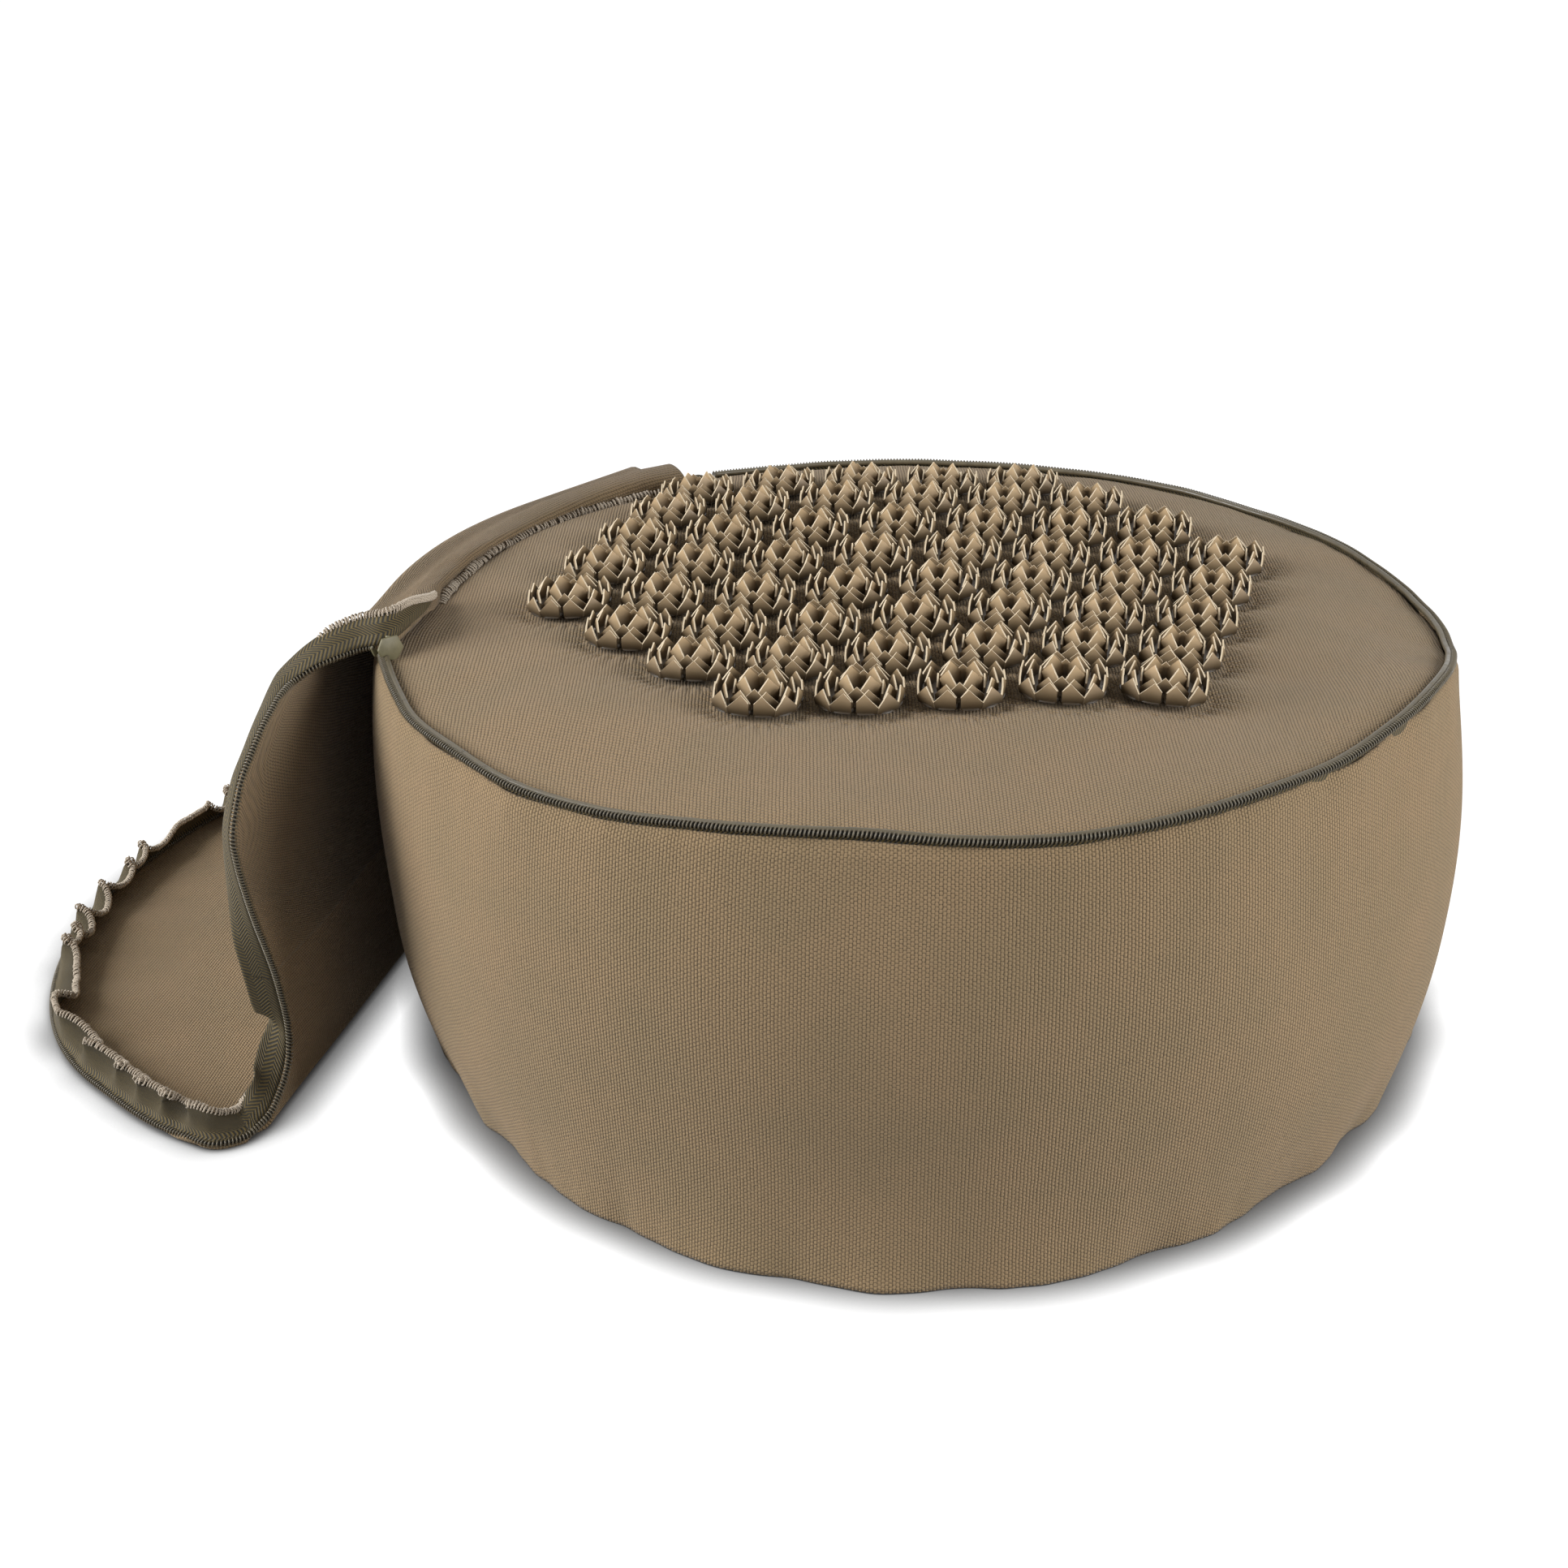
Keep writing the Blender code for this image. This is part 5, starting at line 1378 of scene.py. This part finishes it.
def roll_points(rows, columns):
    """Rows over the rim, from the hinge seam to the top of the wall, with the front end drawn to the zip."""
    front = front_setback(np.array(WALL_FRONT_TOP))
    u = front + (FOLD_BACK - front) * lid_columns(columns)
    point = wall_plan(u)[0]
    azimuth = np.degrees(np.arctan2(point[:, 1], point[:, 0])) % 360.0
    along = (azimuth - azimuth[0]) / (azimuth[-1] - azimuth[0])
    seam_azimuth = SEAM_FRONT + (SEAM_BACK - SEAM_FRONT) * along
    keys = np.array(RIDGE)
    crest = through(keys[:, 0], keys[:, 1] * MM, seam_azimuth * 0.65 + azimuth * 0.35)
    wave = 0.0007 * wander(u / 0.045, 83)

    def ring(mix, radius, z):
        return polar(seam_azimuth * (1 - mix) + azimuth * mix, radius, z)

    seam = ring(0.0, SEAM_RADIUS + 0.0025, 0.0)
    seam[:, 2] = panel_height(seam[:, 0], seam[:, 1]) + FABRIC_GAP + 0.0003
    outer = point.copy()
    outer[:, 2] = wall_top(u)
    ahead = ease((azimuth - 146.0) / 26.0)
    far = ring(0.60, crest + 0.0065 - 0.0015 * ahead, 0.1712 + wave - 0.0032 * ahead)
    low = (far + outer) / 2 - np.array((0.0, 0.0, 0.0016))
    rise = ring(0.12, crest - 0.0064, 0.1722 + wave)
    ridge = ring(0.34, crest, 0.1746 + wave - 0.0022 * ahead)
    sections = [seam, rise, ridge, far, low, outer]
    t = np.linspace(0.0, 1.0, rows)
    surface = through((0.0, 0.17, 0.36, 0.58, 0.80, 1.0), sections, t)
    keys = np.array(TOP_EDGE)
    edge = through(keys[:, 0], keys[:, 1:] * MM, t)[:, None, :]
    near = (1 - ease((u - u[0]) / 0.024))[None, :, None]
    return surface + (edge - surface[:, :1]) * near


def upper_sheet():
    """The lid from its hinge seam over the rim and half-way down the wall."""
    columns, rows = 150, 60
    down = np.linspace(0.0, 1.0, rows)
    roll = roll_points(40, columns)
    front = WALL_FRONT_TOP + (SPLIT_HEIGHT - WALL_FRONT_TOP) * down
    wall = wall_points(front, RIM_HEIGHT + (SPLIT_HEIGHT - RIM_HEIGHT) * down, columns, True)
    fade = (1 - ease(down * 5))[:, None, None]
    wall = wall + (roll[-1] - wall[0])[None] * fade
    return np.concatenate([roll, wall[1:]], axis=0)


def lower_sheet():
    """The lid from half-way down the wall round the crease and out over the floor.

    It starts a little above the line where the upper sheet ends, and lies inside it there."""
    columns, count = 150, 44
    bend = 0.0045
    heights = np.linspace(SPLIT_HEIGHT + 0.004, LID_THICKNESS / 2 + bend, 26)
    wall = wall_points(heights, heights, columns)
    floor_z = LID_THICKNESS / 2
    rows = np.linspace(0.0, 1.0, count)[:, None] ** 0.9
    cut = FLOOR_FRONT + CORNER_CUT * (1 - ease(rows / 0.16))
    u = cut + (LID_DIAMETER - FLOOR_FRONT - cut) * lid_columns(columns)
    floor = toe_place(u, np.broadcast_to(rows, (count, columns)))
    lift = 0.0016 * np.abs(wander(u / 0.04, 85)) * ease(rows * 1.4 - 0.5) * ease((1 - rows) * 8)
    floor[..., 2] = floor_z + lift
    turn = []
    for angle in np.linspace(0.0, math.pi / 2, 7)[1:-1]:
        mixed = wall[-1] + (floor[2] - wall[-1]) * (1 - math.cos(angle))
        mixed[:, 2] = floor_z + bend * (1 - math.sin(angle))
        turn.append(mixed)
    return np.concatenate([wall, np.array(turn), floor[2:]], axis=0)


def disc_part(low, high):
    """Area of the lid's flat disc between two parallel cuts, measured from its edge."""
    radius = LID_DIAMETER / 2

    def cut(depth):
        half = math.acos(1 - depth / radius)
        return radius**2 * (half - math.sin(2 * half) / 2)

    return cut(high) - cut(low)


def lid_loop():
    """The lid's whole edge from its seam past the slider, down the front, round the floor and up the back.

    Gives its points, the direction to the cloth's middle, the cloth's normal on the tape's side, a part
    number (0 for the upper sheet, 1 for the lower one's corners and 2 for the floor) and the length from the
    slider."""
    keys = np.array(TOP_EDGE)
    shares = (np.linspace(TAPE_SHARE, SLIDER_SHARE, 30), np.linspace(SLIDER_SHARE, 1.0, 24))
    before, after = (through(keys[:, 0], keys[:, 1:] * MM, share) for share in shares)
    top = np.concatenate([before, after[1:]])
    z = np.concatenate([np.linspace(0.1606, 0.1585, 6), np.linspace(0.1570, 0.0060, 90)])
    front = on_wall(front_setback(z), z, np.zeros_like(z))
    corner = toe_place(np.full(12, FLOOR_FRONT), np.linspace(0.15, 0.95, 12))
    share = 0.5 - 0.5 * np.cos(np.linspace(0.0, math.pi, 240))
    u = FLOOR_FRONT + (LID_DIAMETER - 2 * FLOOR_FRONT) * share
    floor = np.concatenate([corner, toe_place(u, np.ones_like(u))])
    floor[:, 2] = 0.0026
    z_up = np.linspace(0.0060, RIM_HEIGHT, 80)
    back = on_wall(LID_DIAMETER - back_setback(z_up), z_up, np.zeros_like(z_up))
    points = np.concatenate([top, front, floor, back])
    part = np.concatenate([np.zeros(len(top)), np.where(z > SPLIT_HEIGHT, 0, 1), np.full(len(floor), 2),
                           np.where(z_up > SPLIT_HEIGHT, 0, 1)])
    up = np.array((0.0, 0.0, 1.0))
    wall_normal = wall_plan(front_setback(z))[1]
    back_normal = wall_plan(LID_DIAMETER - back_setback(z_up))[1]
    slant = unit(np.array((-0.35, -0.75, 0.62)))
    floor_normal = np.broadcast_to(up, (len(floor), 3))
    normals = np.concatenate([np.broadcast_to(slant, (len(top), 3)), wall_normal, floor_normal, back_normal])
    points, normals, part = resample(points, 0.0016, normals, part[:, None])
    normals = unit(smooth_rows(normals, 9))
    points = smooth_rows(points, 5)
    inward = unit(np.cross(unit(np.gradient(points, axis=0)), normals))
    run = lengths_along(points) - lengths_along(before)[-1]
    return points, inward, normals, np.round(part[:, 0]).astype(int), run


def smooth_rows(values, width):
    """A running mean that keeps both ends."""
    first, last = (np.repeat(end, width // 2, axis=0) for end in (values[:1], values[-1:]))
    padded = np.concatenate([first, values, last])
    kernel = np.ones(width) / width
    return np.stack([np.convolve(column, kernel, "valid") for column in padded.T], axis=-1)


# How the tape stands off the lid's edge: mm along it from the slider, then the direction of its width.
TAPE_STAND = (
    (-54.0, 0.10, 0.60, 0.40), (-30.0, 0.10, 0.50, 0.75), (-12.0, 0.12, 0.40, 0.90), (0.0, 0.10, 0.45, 0.88),
    (10.0, -0.10, 0.60, 0.75), (26.0, -0.40, 0.75, 0.25), (47.0, -0.43, 0.85, -0.16),
    (82.0, -0.36, 0.83, -0.32), (104.0, -0.35, 0.90, -0.10), (131.0, -0.55, 0.75, 0.0),
    (150.0, -0.75, 0.55, 0.0), (174.0, -1.0, 0.12, 0.10), (190.0, -1.0, 0.05, 0.10),
    (203.0, -0.95, 0.25, 0.0), (212.0, -0.55, 0.60, 0.30), (225.0, -0.90, 0.15, 0.30),
    (240.0, -0.55, 0.35, 0.70), (252.0, -0.35, 0.45, 0.85),
)


class CUSHION_OT_lid(bpy.types.Operator):
    """Builds the lid's two sheets: over the rim and down the wall, and out over the floor"""

    bl_idname = "cushion.lid"
    bl_label = "Lid"

    def execute(self, context):
        upper, lower = upper_sheet(), lower_sheet()
        middle = upper.shape[1] // 2
        length = lengths_along(upper[:, middle])[-1]
        cloth = cloth_lengths(lower, length / MM - 4.0)
        seam = LID_DIAMETER - length - lengths_along(lower[:, middle])[-1] + 0.004
        made = new_object("lid_upper", quad_mesh("lid_upper", upper, False, cloth_lengths(upper)), canvas_lid(),
                          nodes=["lid_fold", "lid_drop_panel"])
        thicken(made, LID_THICKNESS)
        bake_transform(made)
        min(disc_part(seam, seam + length), LID_DIAMETER * length)
        made = new_object("lid_lower", quad_mesh("lid_lower", lower, False, cloth), canvas_lid(),
                          nodes=["lid_toe_panel"])
        thicken(made, LID_THICKNESS - 0.0001)
        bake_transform(made)
        disc_part(seam + length, LID_DIAMETER)
        return {"FINISHED"}


class CUSHION_OT_lid_trims(bpy.types.Operator):
    """Builds the zip half round the lid's edge: coil, tape standing off in ruffles, and overlocked edge"""

    bl_idname = "cushion.lid_trims"
    bl_label = "Lid zip"

    def execute(self, context):
        zipper, lid = context.scene.cushion_zip, context.scene.cushion_lid
        points, inward, normals, part, run = lid_loop()
        keys = np.array(TAPE_STAND)
        lead = through(keys[:, 0], keys[:, 1:], np.minimum(run / MM, keys[-1, 0]))
        phase = run / lid.ruffle + 0.9 * wander(run / 0.08, 91)
        swing = np.sin(2 * math.pi * phase) * (0.7 + 0.5 * wander(run / 0.06, 90))
        tilt = np.radians(np.clip(58 + 30 * swing + 14 * wander(run / 0.03, 92), 22, 86))
        stand = inward * np.cos(tilt)[:, None] + normals * np.sin(tilt)[:, None]
        past_corner = ease((run / MM - 236.0) / 24.0)[:, None]
        on_back = ease((run - run[part == 2].max()) / 0.02)[:, None]
        calm = unit(inward + 0.35 * normals)
        direction = unit(lead) * (1 - past_corner) + stand * past_corner * (1 - on_back) + calm * on_back
        direction = unit(direction)
        width = lid.tape_width * (0.35 + 0.65 * ease((run + 0.055) / 0.052))[:, None]
        rows = np.linspace(0.0, 1.0, 9)[:, None, None]
        shift = normals * (LID_THICKNESS / 2 + 0.0002)
        shift = shift * np.where(part == 2, 0.2, 1.0)[:, None]
        along = unit(np.gradient(points, axis=0))
        curl = 0.0026 * np.sin(2 * math.pi * phase + 1.1)[:, None] * past_corner * (1 - on_back)
        surface = points + shift + direction * width * rows + along * curl * rows**2 * 2.0
        surface = surface + normals * (0.0009 * np.sin(math.pi * rows))
        surface[..., 2] = np.maximum(surface[..., 2], 0.0012)
        away = unit(np.cross(direction, along))
        away = away * np.sign(away[:, 1:2] + 1e-9)
        hidden = (ease((run - 0.016) / 0.010) * (1 - past_corner[:, 0]))[:, None]
        far = surface[-1] + direction * 0.0004 + hidden * (away * 0.0016 - direction * 0.0028)
        blends = (
            ("upper", 0, lambda made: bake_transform(made),
             ("lid_drop_coil", "lid_drop_tape", "lid_drop_overlock")),
            ("corner", 1, lambda made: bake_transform(made), ()),
            ("floor", 2, lambda made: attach(made, "lid_toe"),
             ("lid_toe_coil", "lid_toe_tape", "lid_toe_overlock")),
        )
        for label, number, carry, nodes in blends:
            spans = self.spans(part == number)
            zipped = [(max(a, int(np.argmax(run >= 0.0))), b) for a, b in spans]
            name = f"lid_coil_{label}"
            coils = [wound(points[a:b], normals[a:b], zipper.coil_pitch, width=0.0024, depth=0.0021)
                     for a, b in zipped]
            carry(new_object(name, strands(name, coils, 0.00032, 6), coil_material(),
                             nodes=nodes[:1]))
            # Cords painted almost black as the shade inside the coil.
            name = f"lid_coil_cord_{label}"
            cords = [(points[a:b], normals[a:b]) for a, b in zipped]
            carry(new_object(name, strands(name, cords, 0.00065, 8), cord_material()))
            name = f"lid_overlock_{label}"
            edging = [wound(far[a:b], direction[a:b], pitch=0.0013, width=0.0019, depth=0.0028, steps=8,
                            squareness=0.9, jitter=0.16, seed=95 + number) for a, b in spans]
            carry(new_object(name, strands(name, edging, 0.00036, 5), overlock_thread(),
                             nodes=nodes[2:]))
            name = f"lid_tape_{label}"
            meshes = [quad_mesh(name, surface[:, a:b], False, cloth_lengths(surface[:, a:b])) for a, b in spans]
            made = new_object(name, self.joined(meshes), tape_material(), nodes=nodes[1:2])
            thicken(made, TAPE * (0.8 - 0.06 * number))
            carry(made)
        self.hinge_thread(context)
        return {"FINISHED"}

    def spans(self, chosen):
        """First and last places of each unbroken stretch, a little longer so that the stretches meet."""
        places = np.flatnonzero(chosen)
        breaks = np.flatnonzero(np.diff(places) > 1)
        starts = [places[0], *places[breaks + 1]]
        ends = [*places[breaks], places[-1]]
        return [(max(a - 3, 0), b + 4) for a, b in zip(starts, ends)]

    def joined(self, meshes):
        bm = bmesh.new()
        for mesh in meshes:
            bm.from_mesh(mesh)
        bm.to_mesh(meshes[0])
        bm.free()
        for mesh in meshes[1:]:
            bpy.data.meshes.remove(mesh)
        return meshes[0]

    def hinge_thread(self, context):
        """The overlocked seam allowance that shows along the foot of the fold."""
        azimuth = np.linspace(SEAM_FRONT + 1.0, SEAM_BACK - 1.0, 240)
        radius = SEAM_RADIUS - 0.0026 + 0.0009 * wander(azimuth / 5.0, 97)
        flat = polar(azimuth, radius)
        flat[:, 2] = panel_height(flat[:, 0], flat[:, 1]) + 0.0020 + 0.0008 * wander(azimuth / 3.0, 98)
        out = unit(polar(azimuth, -0.6) + np.array((0.0, 0.0, 1.0)))
        stitches = wound(flat, out, pitch=0.0019, width=0.0034, depth=0.0022, steps=8, squareness=0.8,
                         jitter=0.25, seed=99)
        mesh = strands("hinge_overlock", [stitches], 0.00046, 5)
        new_object("hinge_overlock", mesh, overlock_thread(), "cushion", ["hinge_seam_overlock"])


class CUSHION_OT_tape_ends(bpy.types.Operator):
    """Builds the stitched tape end behind the slider and the folded one at the far end of the zip"""

    bl_idname = "cushion.tape_ends"
    bl_label = "Tape ends"

    def execute(self, context):
        tape_ends = (("slider_tape_end", "lid_tape_end", 0.0), ("far_tape_end", "rim_tape_end", 1.0))
        for name, node, arch in tape_ends:
            low, high = (np.array(corner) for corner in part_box(node))
            middle = (low + high) / 2
            azimuth = math.degrees(math.atan2(middle[1], middle[0]))
            radius = math.hypot(middle[0], middle[1])
            columns, rows = 40, 14
            s = np.linspace(0.0, 1.0, columns)[None, :]
            t = np.linspace(0.0, 1.0, rows)[:, None]
            if arch:
                turn = 2 * math.pi * s
                full = np.sin(math.pi * np.clip(t, 0.02, 0.98)) ** 0.35
                here = azimuth + 1.05 * np.cos(turn) * full
                z = low[2] + 0.0026 + 0.0022 * np.sin(turn) * full
                points = polar(here, radius + 0.0065 * (t - 0.5) + 0 * s, z)
            else:
                here = azimuth - (s - 0.5) * 1.1
                z = low[2] + (high[2] - low[2]) * t
                points = polar(here + 0 * t, radius + 0.0002 * np.sin(7 * t) + 0 * s, z + 0 * s)
            made = new_object(name, quad_mesh(name, points, False, cloth_lengths(points)), tape_material(),
                              nodes=[node])
            thicken(made, TAPE)
            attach(made, "cushion")
        return {"FINISHED"}


class CUSHION_OT_stage(bpy.types.Operator):
    """Sets up the floor, the lights, the white surround and the camera"""

    bl_idname = "cushion.stage"
    bl_label = "Stage"

    def execute(self, context):
        stage = context.scene.cushion_stage
        scene = context.scene
        scene.view_settings.view_transform = "Standard"
        self.world(stage)
        self.floor()
        self.lamp("key_softbox", (-2.0, -0.45, 1.00), 1.3, stage.key)
        self.lamp("fill_softbox", (1.83, -0.93, 0.85), 1.2, stage.fill)
        self.lamp("top_softbox", (-0.75, 0.75, 1.90), 1.2, stage.top)
        camera = bpy.data.cameras.new("camera")
        camera.sensor_width = 36.0
        camera.lens = 58.70
        holder = bpy.data.objects.new("camera", camera)
        holder.location = (-0.0534, -0.9310, 0.5121)
        holder.rotation_euler = (math.radians(90.0 - 24.066), 0.0, 0.0)
        scene.collection.objects.link(holder)
        scene.camera = holder
        return {"FINISHED"}

    def lamp(self, name, place, size, power):
        light = bpy.data.lights.new(name, "AREA")
        light.size = size
        light.energy = power
        holder = bpy.data.objects.new(name, light)
        holder.location = place
        aim = Vector((0.0, 0.0, 0.08)) - Vector(place)
        holder.rotation_euler = aim.to_track_quat("-Z", "Y").to_euler()
        bpy.context.scene.collection.objects.link(holder)

    def seen(self, tree):
        """1 for the rays that should find a white surround: from the camera, from gloss and through glass."""
        path = add_node(tree, "LightPath").node.outputs
        direct = add_node(tree, "Math", (path["Is Camera Ray"], path["Is Glossy Ray"]), operation="MAXIMUM")
        return add_node(tree, "Math", (direct, path["Is Transmission Ray"]), operation="MAXIMUM")

    def world(self, stage):
        world = bpy.data.worlds.new("white_surround")
        bpy.context.scene.world = world
        world.use_nodes = True
        tree = world.node_tree
        background = tree.nodes["Background"]
        background.inputs["Color"].default_value = (1.0, 1.0, 1.0, 1.0)
        strength = add_node(tree, "MapRange", {0: self.seen(tree), 3: stage.sky, 4: 1.0})
        tree.links.new(strength, background.inputs["Strength"])

    def floor(self):
        """A pale floor that keeps the shadow, lifted to white where the camera sees it, except for a painted
        contact shadow.
        """
        bm = bmesh.new()
        bmesh.ops.create_grid(bm, x_segments=1, y_segments=1, size=20.0)
        mesh = bpy.data.meshes.new("floor")
        bm.to_mesh(mesh)
        bm.free()
        material, tree, shader = new_material("paper_floor", 0.9)
        tone, seen_tone, shadow_reach = 0.30, 0.10, 0.016
        base = add_node(tree, "MapRange", {0: self.seen(tree), 3: tone, 4: seen_tone})
        # Painted shadow: the lift fades with the ambient occlusion near the cushion, leaving a soft contact
        # shadow.
        lift_outside_painted_shadow = add_node(tree, "AmbientOcclusion", {"Distance": shadow_reach}, "AO", samples=16)
        lift_outside_painted_shadow = add_node(tree, "Math", (lift_outside_painted_shadow, 2.5), operation="POWER")
        glow = add_node(tree, "Math", (self.seen(tree), lift_outside_painted_shadow), operation="MULTIPLY")
        lift = add_node(tree, "Emission", {"Color": (1.0, 1.0, 1.0, 1.0), "Strength": glow})
        both = add_node(tree, "AddShader", (shader.outputs[0], lift))
        output = next(node for node in tree.nodes if node.type == "OUTPUT_MATERIAL")
        tree.links.new(base, shader.inputs["Base Color"])
        tree.links.new(both, output.inputs["Surface"])
        made = bpy.data.objects.new("floor", mesh)
        mesh.materials.append(material)
        bpy.context.scene.collection.objects.link(made)


OPERATORS = (
    CUSHION_OT_side, CUSHION_OT_bottom, CUSHION_OT_filling, CUSHION_OT_panel, CUSHION_OT_discs,
    CUSHION_OT_rim_zip, CUSHION_OT_slider, CUSHION_OT_tape_ends, CUSHION_OT_lid, CUSHION_OT_lid_trims,
    CUSHION_OT_stage,
)
SETTINGS = (
    ("cushion_cover", CoverSettings), ("cushion_discs", DiscSettings), ("cushion_zip", ZipSettings),
    ("cushion_lid", LidSettings), ("cushion_stage", StageSettings),
)


class CUSHION_PT_panel(bpy.types.Panel):
    bl_idname = "CUSHION_PT_panel"
    bl_label = "Floor cushion"
    bl_space_type = "VIEW_3D"
    bl_region_type = "UI"
    bl_category = "Cushion"

    def draw(self, context):
        for name, group in SETTINGS:
            box = self.layout.box()
            for setting in group.__annotations__:
                box.prop(getattr(context.scene, name), setting)
        for operator in OPERATORS:
            self.layout.operator(operator.bl_idname)


def register():
    for name, group in SETTINGS:
        bpy.utils.register_class(group)
        setattr(bpy.types.Scene, name, PointerProperty(type=group))
    for each in (*OPERATORS, CUSHION_PT_panel):
        bpy.utils.register_class(each)


def unregister():
    for each in (CUSHION_PT_panel, *reversed(OPERATORS)):
        bpy.utils.unregister_class(each)
    for name, group in reversed(SETTINGS):
        delattr(bpy.types.Scene, name)
        bpy.utils.unregister_class(group)


def main():
    register()
    for operator in OPERATORS:
        family, name = operator.bl_idname.split(".")
        getattr(getattr(bpy.ops, family), name)()


if __name__ == "__main__":
    main()
